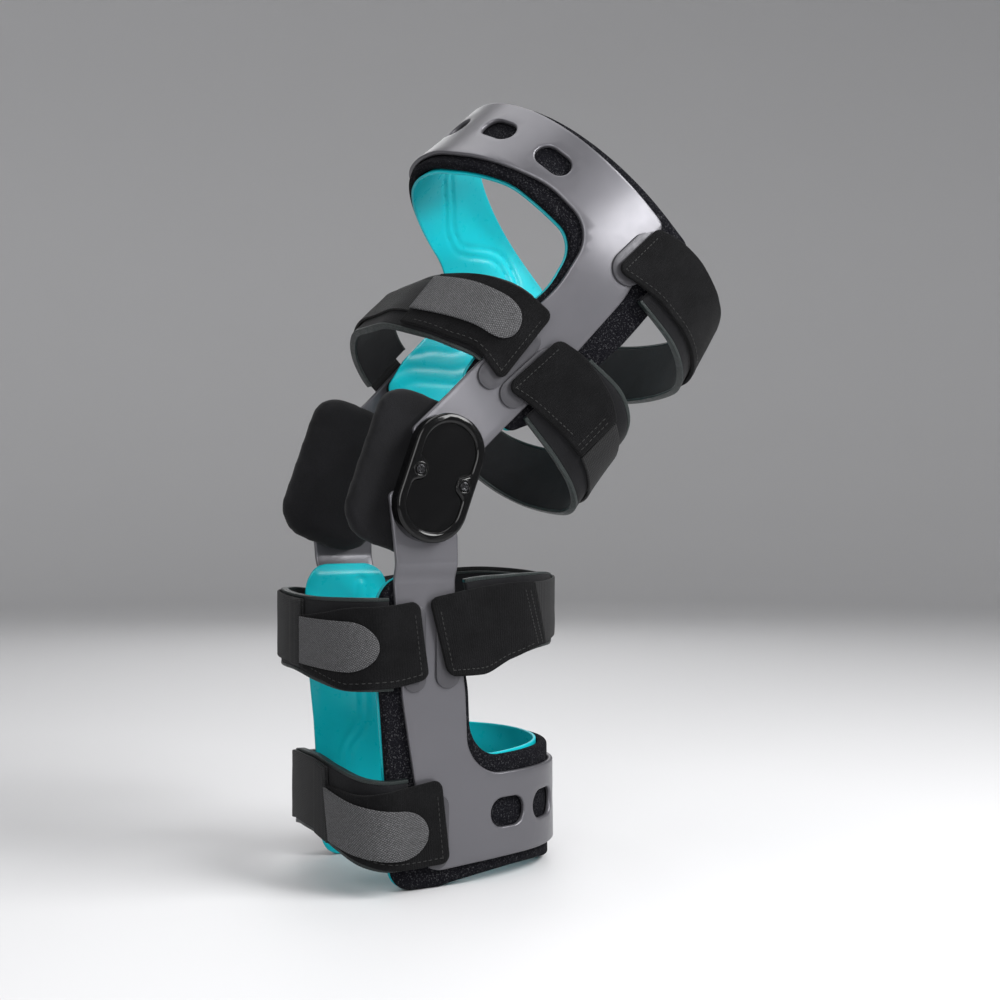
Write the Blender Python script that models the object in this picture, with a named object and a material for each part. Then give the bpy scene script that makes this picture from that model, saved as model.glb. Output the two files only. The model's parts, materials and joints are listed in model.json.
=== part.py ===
"""Hinged knee brace, flexed and standing on its calf cuff.

Lengths are in millimetres and angles in degrees until a mesh is made, which is in metres.
The leg's own axes are used throughout: +X is the outer (lateral) side, +Y the back of the leg
and +Z up. Every rigid shell and strap is cut as a flat pattern and laid on a guide surface.
"""

import math

import bmesh
import bpy
import numpy as np
from mathutils import Matrix, Vector

MM = 0.001

# Where the joint stands
HINGE_Y = -62.27
HINGE_Z = 219.0
PIVOT_SPACING = 29.0
HINGE_LEAN = 19.85
THIGH_LEAN = 47.0

# Sheet, foam and cloth thicknesses, and the gaps kept between touching pieces: strap layers twist,
# so theirs is wider
GAP = 0.35
LAYER_GAP = 0.7
FRAME_SHEET = 3.0
FOAM = 6.0
LINER_FACE = 1.8
TAB = 1.1
PAD = 3.6
BAND = 2.4
WEBBING = 1.5
HOOK_TAB = 1.2

# Half widths of a strap's cloth, and of its webbing and hook tab
STRAP_HALF = 22.0
WEBBING_HALF = 17.0

# Length of a facet round a shell and along a strap
SHELL_STEP = 14.0
STRAP_STEP = 10.0

# Thigh shell, height measured up the thigh from the upper pivot
#   height, half width, where the side starts to turn, roundness exponent
THIGH_LEVELS = [
    (0, 60.0, 8.0, 4.0),
    (30, 60.0, 8.0, 4.0),
    (55, 62.0, 8.0, 3.4),
    (75, 65.5, 8.0, 2.8),
    (100, 71.0, 8.0, 2.4),
    (136, 79.5, 8.0, 2.2),
    (182, 84.0, 8.0, 2.0),
]
THIGH_SCORES = [30, 52, 74, 96, 118, 140, 160]
THIGH_ARC = 157.0
THIGH_CUFF = (135.0, 178.0)
THIGH_SLOT = (22.0, 14.0)
THIGH_SLOT_PITCH = 40.0
THIGH_SLOT_HEIGHT = 156.5

# Calf shell, height measured from the floor
#   height, half width, where the side starts to turn, roundness exponent
CALF_LEVELS = [
    (0, 55.0, 25.0, 2.1),
    (60, 56.0, 25.0, 2.1),
    (110, 56.0, 25.0, 2.4),
    (163, 56.0, 25.0, 3.0),
    (175, 60.0, 25.0, 4.0),
    (225, 60.0, 25.0, 4.0),
]
CALF_SCORES = [22, 42, 60, 110, 163, 166, 169, 172, 175]
CALF_ARC = 128.0
CALF_CUFF = (9.0, 59.0)
CALF_ARCH = 4.0
CALF_LINER_ARCH = 6.0
CALF_SLOT = (24.0, 16.0)
CALF_SLOT_PITCH = 32.0
CALF_SLOT_HEIGHT = 37.0

TOE_IN_RADIUS = 1000.0

# Hinge
UPRIGHT_END_RADIUS = 13.8
PIN_RADIUS = 5.0
PIN_CLEARANCE = 0.35
COVER_SIZE = (41.0, 70.0)
COVER_BASE = 60.4
COVER_TOP = 69.0
PLATE_SIZE = (30.0, 59.0)
PLATE_FACES = (53.6, 56.3)
PAD_FACES = (36.5, 53.2)
PAD_EDGES = (-41.0, 21.0, -30.5, 58.0)
SCREW_OFFSET = 14.6
SCREW_RADIUS = 2.1

COLOURS = {
    # name: colour, roughness, metallic
    "frame_grey": ((0.19, 0.19, 0.205), 0.38, 0.75),
    "foam_black": ((0.012, 0.012, 0.014), 0.9, 0.0),
    "liner_teal": ((0.01, 0.36, 0.40), 0.22, 0.0),
    "loop_black": ((0.010, 0.010, 0.011), 0.95, 0.0),
    "webbing_grey": ((0.035, 0.035, 0.037), 0.8, 0.0),
    "hook_grey": ((0.085, 0.085, 0.088), 0.7, 0.0),
    "tab_smoke": ((0.07, 0.07, 0.08), 0.35, 0.0),
    "cover_black": ((0.006, 0.006, 0.007), 0.12, 0.0),
    "pad_black": ((0.012, 0.012, 0.013), 0.85, 0.0),
    "hinge_steel": ((0.42, 0.42, 0.43), 0.3, 1.0),
}


def clear_scene():
    for thing in list(bpy.data.objects):
        bpy.data.objects.remove(thing, do_unlink=True)


def material(name):
    found = bpy.data.materials.get(name)
    if found:
        return found
    colour, roughness, metallic = COLOURS[name]
    made = bpy.data.materials.new(name)
    made.use_nodes = True
    shader = made.node_tree.nodes["Principled BSDF"]
    shader.inputs["Base Color"].default_value = (*colour, 1.0)
    shader.inputs["Roughness"].default_value = roughness
    shader.inputs["Metallic"].default_value = metallic
    return made


def empty(name, location, lean, parent=None):
    """An axis for a body: its origin on the joint, leant towards the back of the leg."""
    made = bpy.data.objects.new(name, None)
    bpy.context.scene.collection.objects.link(made)
    place = Matrix.Translation(Vector(location) * MM) @ Matrix.Rotation(math.radians(-lean), 4, "X")
    made.parent = parent
    made.matrix_local = parent.matrix_world.inverted() @ place if parent else place
    bpy.context.view_layer.update()
    return made


def finish_mesh(name, bm, look, parent):
    """Turn a bmesh in millimetres into a named object in metres under its body's empty."""
    bmesh.ops.triangulate(bm, faces=bm.faces[:])
    bmesh.ops.recalc_face_normals(bm, faces=bm.faces[:])
    if bm.calc_volume(signed=True) < 0:
        bmesh.ops.reverse_faces(bm, faces=bm.faces[:])
    bmesh.ops.scale(bm, vec=(MM, MM, MM), verts=bm.verts[:])
    mesh = bpy.data.meshes.new(name)
    bm.to_mesh(mesh)
    bm.free()
    mesh.shade_smooth()
    mesh.set_sharp_from_angle(angle=math.radians(32))
    mesh.materials.append(material(look))
    made = bpy.data.objects.new(name, mesh)
    bpy.context.scene.collection.objects.link(made)
    made.parent = parent
    return made


def smooth_row(rows, where):
    """Read a table at any height, easing through its rows. The first column is the height."""
    table = np.array(rows, dtype=float)
    heights, values = table[:, 0], table[:, 1:]
    rises = np.diff(values, axis=0) / np.diff(heights)[:, None]
    before, after = np.vstack([rises[:1], rises]), np.vstack([rises, rises[-1:]])
    slopes = np.where(before * after > 0, (before + after) / 2, 0.0)
    limit = 2 * np.minimum(np.abs(before), np.abs(after))
    slopes = np.clip(slopes, -limit, limit)
    where = float(np.clip(where, heights[0], heights[-1]))
    i = int(np.clip(np.searchsorted(heights, where) - 1, 0, len(heights) - 2))
    span = heights[i + 1] - heights[i]
    t = (where - heights[i]) / span
    start, end = 2 * t**3 - 3 * t**2 + 1, 3 * t**2 - 2 * t**3
    leave, arrive = t**3 - 2 * t**2 + t, t**3 - t**2
    return (start * values[i] + end * values[i + 1]
            + span * (leave * slopes[i] + arrive * slopes[i + 1]))


def arc_points(centre, radius, start, end, count):
    """Points on an arc, angles in degrees, both ends included."""
    angles = np.radians(np.linspace(start, end, count))
    return [(centre[0] + radius * math.cos(a), centre[1] + radius * math.sin(a)) for a in angles]


def rounded(corners, facet=4.5):
    """A closed outline from corners (a, b, radius), each corner turned with a fillet arc."""
    outline = []
    count = len(corners)
    for i, (a, b, radius) in enumerate(corners):
        here = Vector((a, b))
        if radius <= 0:
            outline.append((a, b))
            continue
        back = (Vector(corners[i - 1][:2]) - here).normalized()
        ahead = (Vector(corners[(i + 1) % count][:2]) - here).normalized()
        half = back.angle(ahead) / 2
        reach = radius / math.tan(half)
        centre = here + (back + ahead).normalized() * (radius / math.sin(half))
        first = here + back * reach - centre
        sweep = first.angle_signed(here + ahead * reach - centre)
        segments = min(8, max(2, round(abs(sweep) * radius / facet)))
        for k in range(segments + 1):
            turn = Matrix.Rotation(-sweep * k / segments, 2)
            point = centre + turn @ first
            outline.append((point.x, point.y))
    return outline


def stadium(width, height, centre=(0.0, 0.0), facet=5.5):
    """A slot with round ends; its long side runs the way that is longer."""
    radius = min(width, height) / 2
    a, b = centre
    corners = [(a - width / 2, b - height / 2), (a + width / 2, b - height / 2),
               (a + width / 2, b + height / 2), (a - width / 2, b + height / 2)]
    return rounded([(x, y, radius * 0.98) for x, y in corners], facet)


class LegShell:
    """Outer face of a rigid shell that wraps the front or the back of the leg.

    A flat pattern point is (s, h): s runs along the wrap from the joint's plane on the outer
    side, h is the height. The depth of each level is solved so that all levels have one length.
    """

    def __init__(self, levels, heights, arc, wrap):
        self.levels = levels
        self.arc = arc
        self.wrap = wrap
        self.scores = (np.arange(-28.0, 2 * arc + 29.0, SHELL_STEP), heights)
        self.depths = {}

    def quarter(self, half_width, depth, exponent):
        angles = np.linspace(0.0, math.pi / 2, 120)
        reach = ((np.cos(angles) / half_width)**exponent
                 + (np.sin(angles) / depth)**exponent)**(-1 / exponent)
        x, v = reach * np.cos(angles), reach * np.sin(angles)
        run = np.concatenate([[0.0], np.cumsum(np.hypot(np.diff(x), np.diff(v)))])
        return x, v, run

    def depth(self, level):
        if level not in self.depths:
            half_width, turn, exponent = smooth_row(self.levels, level)
            low, high = 20.0, 200.0
            while high - low > 0.01:
                middle = (low + high) / 2
                long_enough = turn + self.quarter(half_width, middle, exponent)[2][-1] > self.arc
                low, high = (low, middle) if long_enough else (middle, high)
            self.depths[level] = low
        return self.depths[level]

    def place(self, s, h, offset):
        side = 1.0
        if s > self.arc:
            side, s = -1.0, 2 * self.arc - s
        half_width, turn, exponent = smooth_row(self.levels, h)
        if s <= turn:
            toe = min(0.0, s)
            x, v = half_width - toe**2 / (2 * TOE_IN_RADIUS), s
            normal = Vector((1.0, toe / TOE_IN_RADIUS)).normalized()
        else:
            below = math.floor(h)
            depth = np.interp(h, [below, below + 1], [self.depth(below), self.depth(below + 1)])
            xs, vs, run = self.quarter(half_width, depth, exponent)
            along = (s - turn) * run[-1] / (self.arc - turn)
            x, v = float(np.interp(along, run, xs)), float(np.interp(along, run, vs))
            nx = x**(exponent - 1) / half_width**exponent
            nv = v**(exponent - 1) / depth**exponent
            normal = Vector((nx, nv)).normalized()
            v += turn
        x, v = x + normal.x * offset, v + normal.y * offset
        return Vector((side * x, self.wrap * v, h))


class StrapRun:
    """A strap's guide surface from the outer upright round the leg to the inner upright.

    Each row gives one station: x, y, low edge, high edge, and how far y moves from low to high.
    A flat pattern point is (u, b): u is the length along the strap and b runs across it, from
    -STRAP_HALF on its low edge to STRAP_HALF on its high edge.
    """

    def __init__(self, rows, turn, flare=0.0):
        self.turn = turn
        self.flare = flare
        stations = np.array(rows, dtype=float)
        knots = np.concatenate([[0.0], np.cumsum(np.hypot(*np.diff(stations[:, :2], axis=0).T))])
        table = np.column_stack([knots, stations])
        fine = np.linspace(0.0, knots[-1], 160)
        self.samples = np.array([smooth_row(table, f) for f in fine])
        steps = np.hypot(*np.diff(self.samples[:, :2], axis=0).T)
        self.run = np.concatenate([[0.0], np.cumsum(steps)])
        self.length = float(self.run[-1])
        self.scores = (np.arange(STRAP_STEP, self.length, STRAP_STEP), [])

    def at(self, u):
        return [float(np.interp(u, self.run, column)) for column in self.samples.T]

    def point(self, u, w):
        x, y, low, high, lean = self.at(u)
        middle, half = (low + high) / 2, (high - low) / 2
        grow = 1 + self.flare * w * half / 100
        return Vector((x * grow, y + w * lean / 2, middle + w * half))

    def place(self, u, b, offset):
        reach, w = 1.5, b / STRAP_HALF
        along = self.point(min(u + reach, self.length), w) - self.point(max(u - reach, 0.0), w)
        across = self.point(u, 1.0) - self.point(u, -1.0)
        out = along.cross(across).normalized() * self.turn
        return self.point(u, w) + out * offset

    def find(self, x=None, y=None, start=0.0, end=1.0):
        """Length along the strap where it first passes a given x or y between two fractions."""
        column, goal = (0, x) if x is not None else (1, y)
        first, last = int(start * 159), int(end * 159)
        nearest = np.argmin(np.abs(self.samples[first:last + 1, column] - goal))
        return float(self.run[first + nearest])


def lay_pattern(name, guide, outline, faces, look, parent, holes=()):
    """Fill a flat pattern, score it where it bends, thicken it and lay it on its guide."""
    bm = bmesh.new()
    edges = []
    for loop in [outline, *holes]:
        verts = [bm.verts.new((a, b, 0.0)) for a, b in loop]
        edges += [bm.edges.new((verts[i - 1], verts[i])) for i in range(len(verts))]
    bmesh.ops.triangle_fill(bm, use_beauty=True, use_dissolve=False, edges=edges)
    bmesh.ops.dissolve_limit(bm, angle_limit=0.01, verts=bm.verts[:], edges=bm.edges[:])
    for axis, lines in enumerate(guide.scores):
        for line in lines:
            centre, normal = Vector((0, 0, 0)), Vector((0, 0, 0))
            centre[axis], normal[axis] = line, 1.0
            everything = bm.verts[:] + bm.edges[:] + bm.faces[:]
            bmesh.ops.bisect_plane(bm, geom=everything, dist=0.05, plane_co=centre, plane_no=normal)
    bmesh.ops.triangulate(bm, faces=bm.faces[:])
    raised = bmesh.ops.extrude_face_region(bm, geom=bm.faces[:])["geom"]
    for vert in [v for v in raised if isinstance(v, bmesh.types.BMVert)]:
        vert.co.z = 1.0
    for vert in bm.verts:
        vert.co = guide.place(vert.co.x, vert.co.y, faces[1] if vert.co.z > 0.5 else faces[0])
    return finish_mesh(name, bm, look, parent)


def mirrored(half, arc):
    """Corners of a whole wrapped pattern from the corners of its outer half."""
    return half + [(2 * arc - s, h, radius) for s, h, radius in reversed(half)]


def plain(points):
    return [(a, b, 0.0) for a, b in points]


def pivot_hole(centre):
    return arc_points(centre, PIN_RADIUS + PIN_CLEARANCE, 0, 330, 12)


def pivot_place(end):
    """Where a pivot lies from the hinge's middle line and the floor: 1 upper, -1 lower."""
    lean, reach = math.radians(HINGE_LEAN), end * PIVOT_SPACING / 2
    return reach * math.sin(lean), HINGE_Z + reach * math.cos(lean)


def thigh_frame_outline():
    window, rim = THIGH_CUFF
    half = [(22.5, window, 34.0), (21.0, 25.0, 0.0), (21.5, -4.5, 3.0)]
    half += plain(arc_points((0.0, 0.0), UPRIGHT_END_RADIUS, 305, 185, 7))
    half += [(-15.0, 10.0, 5.0), (-15.0, 55.0, 0.0), (-12.0, 92.0, 0.0), (-7.0, 132.0, 0.0),
             (1.0, 160.0, 0.0), (8.5, rim, 5.0)]
    return rounded(mirrored(half, THIGH_ARC))


def thigh_liner_outline(inset):
    """The padding shows below the cuff, round the window and behind the upright."""
    window, rim = 130.5 + inset, 180.5 - inset
    front, back = 25.0 - inset, -27.5 + inset
    half = [(THIGH_ARC - 30.0, window - 5.0, 0.0), (front, window, 33.0), (front, 60.0, 0.0),
            (20.0 - inset, 38.0, 6.0)]
    half += plain(arc_points((0.0, 0.0), 42.0 + inset, 68, 112, 4))
    half += [(-20.0 + inset, 38.0, 6.0), (back, 56.0, 12.0), (back, 118.0, 40.0),
             (-8.0 + inset, 156.0, 0.0), (8.0 + inset, rim, 6.0)]
    return rounded(mirrored(half, THIGH_ARC))


def thigh_slots():
    return [stadium(*THIGH_SLOT, (THIGH_ARC + k * THIGH_SLOT_PITCH, THIGH_SLOT_HEIGHT))
            for k in range(-2, 3)]


def rest_arch(s, start, rise, end=None):
    """A wavy lower edge: level at its start, and level again past the end if one is given."""
    if end is None:
        return rise * math.sin(math.pi / 2 * min(1.0, max(0.0, (s - start) / 60.0)))
    return rise * math.sin(math.pi * min(1.0, max(0.0, (s - start) / (end - start))))


def calf_frame_outline():
    foot, rim = CALF_CUFF
    pivot = pivot_place(-1)
    half = [(22.0, rim, 22.0), (20.0, 105.0, 0.0), (14.0, 152.0, 0.0), (13.5, 188.0, 5.0)]
    half += plain(arc_points(pivot, UPRIGHT_END_RADIUS, 5, 125, 7))
    half += [(-26.5, 211.0, 3.0), (-22.6, 178.0, 0.0), (-21.0, 150.0, 0.0), (-16.8, 102.0, 0.0),
             (-9.3, 54.5, 0.0), (-2.5, foot, 10.0)]
    half += [(s, foot + rest_arch(s, 0.0, CALF_ARCH), 0.0) for s in range(24, 125, 20)]
    return rounded(mirrored(half, CALF_ARC))


def calf_liner_outline(inset):
    rim, top = 67.5 - inset, 167.5 - inset
    front, back = inset, -inset
    half = [(25.5 + back, rim, 20.0), (24.0 + back, 105.0, 0.0), (18.0 + back, 140.0, 0.0),
            (17.0 + back, top, 14.0), (-28.0 + front, top, 17.0), (-29.5 + front, 128.0, 0.0),
            (-26.0 + front, 80.0, 0.0), (-20.5 + front, inset, 12.0), (6.0, inset, 0.0)]
    half += [(s, inset + rest_arch(s, 6.0, CALF_LINER_ARCH, 116.0), 0.0)
             for s in range(16, 127, 10)]
    return rounded(mirrored(half, CALF_ARC))


def calf_slots():
    return [stadium(*CALF_SLOT, (CALF_ARC + (k - 2.5) * CALF_SLOT_PITCH, CALF_SLOT_HEIGHT))
            for k in range(6)]


# Strap centre lines, from the outer upright round to the inner one.
#   x, y, low edge, high edge, how far y moves from the low edge to the high edge
STRAP_ROWS = {
    "thigh_front_strap": [
        (66.8, -10.5, 50.0, 95.5, -8.5),
        (66.4, -28.0, 51.0, 92.0, -6.0),
        (55.0, -47.0, 50.0, 86.0, -4.0),
        (38.0, -58.5, 46.0, 79.0, -2.0),
        (14.0, -64.0, 43.0, 75.0, 0.0),
        (-14.0, -64.0, 40.0, 72.0, 0.0),
        (-40.0, -56.0, 37.0, 70.0, 0.0),
        (-57.0, -41.0, 36.0, 70.0, 0.0),
        (-64.0, -26.0, 36.0, 70.0, 0.0),
        (-63.2, -6.0, 36.0, 70.0, 0.0),
    ],
    "thigh_lower_back_strap": [
        (65.6, -2.0, 49.8, 90.6, 0.0),
        (67.5, 20.0, 48.5, 94.0, 0.0),
        (67.0, 43.0, 48.0, 97.0, 0.0),
        (64.0, 61.0, 46.0, 93.0, 0.0),
        (53.0, 73.5, 43.0, 86.0, 0.0),
        (30.0, 77.0, 42.0, 80.0, 0.0),
        (0.0, 73.0, 42.0, 79.0, 0.0),
        (-32.0, 63.0, 43.0, 79.0, 0.0),
        (-53.0, 48.0, 45.0, 80.0, 0.0),
        (-64.5, 27.0, 47.0, 84.0, 0.0),
        (-65.6, -2.0, 49.8, 90.6, 0.0),
    ],
    "thigh_upper_back_strap": [
        (81.8, -10.0, 136.5, 175.6, 0.0),
        (84.5, 12.0, 137.0, 176.0, -1.0),
        (83.5, 36.0, 138.0, 177.0, -4.0),
        (72.0, 58.0, 139.0, 178.0, -9.0),
        (44.0, 74.0, 141.0, 178.0, -12.0),
        (0.0, 78.0, 142.0, 178.0, -13.0),
        (-44.0, 74.0, 141.0, 178.0, -12.0),
        (-72.0, 58.0, 139.0, 178.0, -9.0),
        (-83.5, 36.0, 138.0, 177.0, -4.0),
        (-84.5, 12.0, 137.0, 176.0, -1.0),
        (-81.8, -10.0, 136.5, 175.6, 0.0),
    ],
    "calf_upper_front_strap": [
        (56.2, -6.0, 112.0, 154.0, -6.0),
        (56.2, -26.0, 109.0, 153.0, -2.0),
        (48.0, -41.5, 109.0, 153.0, 0.0),
        (28.0, -53.0, 112.0, 153.0, 0.0),
        (0.0, -57.5, 115.0, 154.0, 0.0),
        (-28.0, -53.0, 115.0, 155.0, 0.0),
        (-48.0, -41.5, 114.0, 155.0, 0.0),
        (-56.2, -26.0, 112.0, 154.0, -2.0),
        (-56.2, -6.0, 112.0, 154.0, -6.0),
    ],
    "calf_upper_back_strap": [
        (56.0, 2.5, 114.0, 155.5, -11.0),
        (57.0, 25.0, 112.0, 159.0, -6.0),
        (57.5, 46.0, 122.0, 161.0, 0.0),
        (54.0, 64.5, 132.0, 162.0, 0.0),
        (41.0, 79.5, 135.0, 163.0, 0.0),
        (20.0, 89.0, 136.0, 164.0, 0.0),
        (-10.0, 90.5, 136.0, 165.0, 0.0),
        (-38.0, 78.0, 135.0, 166.0, 0.0),
        (-54.0, 55.0, 130.0, 164.0, 0.0),
        (-57.0, 25.0, 116.0, 160.0, -6.0),
        (-56.0, 2.5, 114.0, 155.5, -11.0),
    ],
    "calf_lower_front_strap": [
        (56.2, 6.5, 14.0, 58.0, -5.0),
        (56.6, -24.0, 12.0, 56.0, 0.0),
        (49.0, -35.5, 14.0, 57.0, 0.0),
        (28.0, -42.5, 20.0, 61.0, 0.0),
        (0.0, -45.0, 25.0, 65.0, 0.0),
        (-28.0, -42.5, 24.0, 64.0, 0.0),
        (-49.0, -35.5, 19.0, 60.0, 0.0),
        (-56.6, -24.0, 15.0, 58.0, 0.0),
        (-56.2, 6.5, 14.0, 58.0, -5.0),
    ],
}

# How each strap is built up along its run
#   body, way round (-1 front, 1 back), widening per 100 mm of height, y where the cloth band
#   ends, y where the pad meets each upright, hook tab from y and to y (none on back straps)
STRAPS = {
    "thigh_front_strap": ("thigh", -1, 0.33, (38.0, None), -25.5, (-24.0, 40.0)),
    "thigh_lower_back_strap": ("thigh", 1, 0.33, (None, 58.0), 18.0, None),
    "thigh_upper_back_strap": ("thigh", 1, 0.1, None, 12.0, None),
    "calf_upper_front_strap": ("calf", -1, 0.0, (8.0, None), -24.5, (-27.0, 10.0)),
    "calf_upper_back_strap": ("calf", 1, 0.0, (None, 63.0), 22.5, None),
    "calf_lower_front_strap": ("calf", -1, 0.0, (16.0, None), -14.0, (-2.0, 20.0)),
}

# Plastic tongues under the strap ends: shell, middle s, middle height, width, length
STRAP_TABS = {
    "thigh_front_strap_tab": ("thigh", 12.0, 62.0, 15.0, 42.0),
    "thigh_lower_back_strap_tab": ("thigh", -4.0, 64.0, 16.0, 40.0),
    "thigh_upper_back_strap_tab": ("thigh", 5.0, 152.0, 20.0, 34.0),
    "calf_upper_front_strap_tab": ("calf", -10.5, 129.0, 13.0, 46.0),
    "calf_upper_back_strap_tab": ("calf", 9.0, 129.0, 14.0, 44.0),
    "calf_lower_front_strap_tab": ("calf", 2.5, 31.0, 14.0, 40.0),
}


def strip(start, end, half_width, corner):
    return rounded([(start, -half_width, corner), (end, -half_width, corner),
                    (end, half_width, corner), (start, half_width, corner)])


def hook_outline(start, end, half_width):
    """Round at its free end near the upright, square where it folds."""
    return rounded([(start, -half_width, half_width * 0.97), (end, -half_width, 0.0),
                    (end, half_width, 0.0), (start, half_width, half_width * 0.97)])


def make_strap(name, bodies):
    body, turn, flare, band_end, pad_edge, hook = STRAPS[name]
    run = StrapRun(STRAP_ROWS[name], turn, flare)
    outer = TAB + 2 * GAP
    parent = bodies[body]
    if band_end:
        x_end, y_end = band_end
        middle = run.find(x=x_end, y=y_end, start=0.1, end=0.6)
    else:
        middle = run.length
    pad_start = run.find(y=pad_edge, start=0.0, end=0.4)
    pad_end = run.find(y=pad_edge, start=0.6, end=1.0)
    run.scores = (sorted([*run.scores[0], pad_start, pad_end]), [])
    lay_pattern(name + "_band", run, strip(0.0, middle, STRAP_HALF, 4.0),
                (outer, outer + BAND), "loop_black", parent)
    if band_end:
        lay_pattern(name + "_webbing", run, strip(middle + GAP, run.length, WEBBING_HALF, 1.0),
                    (outer, outer + WEBBING), "webbing_grey", parent)
    lay_pattern(name + "_pad", run, strip(pad_start, pad_end, STRAP_HALF, 0.0),
                (outer - LAYER_GAP - PAD, outer - LAYER_GAP), "pad_black", parent)
    if hook:
        tip = run.find(y=hook[0], start=0.0, end=0.4)
        fold = run.find(x=hook[1], start=0.1, end=0.6)
        under = outer + BAND + LAYER_GAP
        lay_pattern(name + "_hook", run, hook_outline(tip, fold, WEBBING_HALF),
                    (under, under + HOOK_TAB), "hook_grey", parent)


def make_strap_tabs(shells, bodies):
    for name, (body, s, h, width, length) in STRAP_TABS.items():
        shell = shells[body]
        for side, middle in (("outer", s), ("inner", 2 * shell.arc - s)):
            lay_pattern(f"{name}_{side}", shell, stadium(width, length, (middle, h)),
                        (GAP, GAP + TAB), "tab_smoke", bodies[body])


def make_shells(bodies):
    thigh = LegShell(THIGH_LEVELS, THIGH_SCORES, THIGH_ARC, -1)
    calf = LegShell(CALF_LEVELS, CALF_SCORES, CALF_ARC, 1)
    foam = (-FRAME_SHEET - GAP - FOAM, -FRAME_SHEET - GAP)
    face = (foam[0] - GAP - LINER_FACE, foam[0] - GAP)
    calf_pivot = pivot_place(-1)
    thigh_holes = [pivot_hole((0.0, 0.0)), pivot_hole((2 * THIGH_ARC, 0.0))]
    calf_holes = [pivot_hole(calf_pivot), pivot_hole((2 * CALF_ARC - calf_pivot[0], calf_pivot[1]))]
    lay_pattern("thigh_frame", thigh, thigh_frame_outline(), (-FRAME_SHEET, 0.0),
                "frame_grey", bodies["thigh"], thigh_slots() + thigh_holes)
    lay_pattern("calf_frame", calf, calf_frame_outline(), (-FRAME_SHEET, 0.0),
                "frame_grey", bodies["calf"], calf_slots() + calf_holes)
    for body, shell, outline in (("thigh", thigh, thigh_liner_outline),
                                 ("calf", calf, calf_liner_outline)):
        lay_pattern(f"{body}_liner_foam", shell, outline(0.0), foam,
                    "foam_black", bodies[body])
        lay_pattern(f"{body}_liner_face", shell, outline(1.2), face,
                    "liner_teal", bodies[body])
    return {"thigh": thigh, "calf": calf}


def prism(name, outline, near, far, side, look, parent):
    """A flat plate across the hinge: outline in (y, z), from x near to x far, on one side."""
    bm = bmesh.new()
    face = bm.faces.new([bm.verts.new((side * near, a, b)) for a, b in outline])
    top = bmesh.ops.extrude_face_region(bm, geom=[face])["geom"]
    for vert in [v for v in top if isinstance(v, bmesh.types.BMVert)]:
        vert.co.x = side * far
    return finish_mesh(name, bm, look, parent)


def cover_panel(centre):
    """The sunk panel of the cover: two lobes with a notch at each screw."""
    half_width, half_height = COVER_SIZE[0] / 2 - 4.5, COVER_SIZE[1] / 2 - 4.5
    straight = half_height - half_width
    outline = []
    for angle in np.radians(np.arange(0, 360, 15)):
        across, along = half_width * math.cos(angle), half_width * math.sin(angle)
        along += math.copysign(straight, along) if abs(along) > 1e-6 else 0.0
        notch = 5.5 * math.exp(-(along / 5.0)**2)
        outline.append((across - math.copysign(notch, across), along + centre))
    left = [(a, b) for a, b in outline if abs(b - centre) > 1e-6]
    waist = half_width - 5.5
    quarter = len(left) // 2
    return [(waist, centre)] + left[:quarter] + [(-waist, centre)] + left[quarter:]


def make_cover(name, side, look, parent):
    """Glossy cover with a rounded rim and a sunk panel."""
    centre = PIVOT_SPACING / 2
    rings = [
        (0.0, COVER_BASE),
        (0.0, COVER_TOP - 2.2),
        (0.6, COVER_TOP - 0.8),
        (2.2, COVER_TOP),
    ]
    bm = bmesh.new()
    outline = stadium(*COVER_SIZE, (0.0, centre), 5.0)
    loops = []
    for inset, x in rings:
        scale = [(size - 2 * inset) / size for size in COVER_SIZE]
        loops.append([bm.verts.new((side * x, a * scale[0], centre + (b - centre) * scale[1]))
                      for a, b in outline])
    for lower, upper in zip(loops, loops[1:]):
        for i in range(len(outline)):
            bm.faces.new((lower[i - 1], lower[i], upper[i], upper[i - 1]))
    bm.faces.new(loops[0])
    panel = cover_panel(centre)
    edge = [bm.verts.new((side * COVER_TOP, a, b)) for a, b in panel]
    sunk = [bm.verts.new((side * (COVER_TOP - 1.3), a * 0.96, centre + (b - centre) * 0.98))
            for a, b in panel]
    for i in range(len(panel)):
        bm.faces.new((edge[i - 1], edge[i], sunk[i], sunk[i - 1]))
    bm.faces.new(sunk)
    top_edges = [bm.edges.get((loops[-1][i - 1], loops[-1][i])) for i in range(len(outline))]
    top_edges += [bm.edges.get((edge[i - 1], edge[i])) for i in range(len(panel))]
    bmesh.ops.triangle_fill(bm, use_beauty=True, use_dissolve=False, edges=top_edges)
    return finish_mesh(name, bm, look, parent)


def make_condyle_pad(name, side, parent):
    """Soft pad with a domed inner face."""
    left, right, low, high = PAD_EDGES
    shallow, deep = PAD_FACES
    centre = Vector(((left + right) / 2, (low + high) / 2))
    outline = rounded([(left, low, 20.0), (right, low, 20.0), (right, high, 18.0),
                       (left, high, 16.0)], 7.0)
    rings = [(0.9, deep), (0.98, deep - 2.0), (1.0, deep - 6.0), (0.95, shallow + 4.5),
             (0.8, shallow + 1.2), (0.5, shallow)]
    bm = bmesh.new()
    loops = []
    for scale, x in rings:
        points = [centre + (Vector(p) - centre) * scale for p in outline]
        loops.append([bm.verts.new((side * x, p.x, p.y)) for p in points])
    for lower, upper in zip(loops, loops[1:]):
        for i in range(len(outline)):
            bm.faces.new((lower[i - 1], lower[i], upper[i], upper[i - 1]))
    bm.faces.new(loops[0])
    bm.faces.new(loops[-1])
    return finish_mesh(name, bm, "pad_black", parent)


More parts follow.
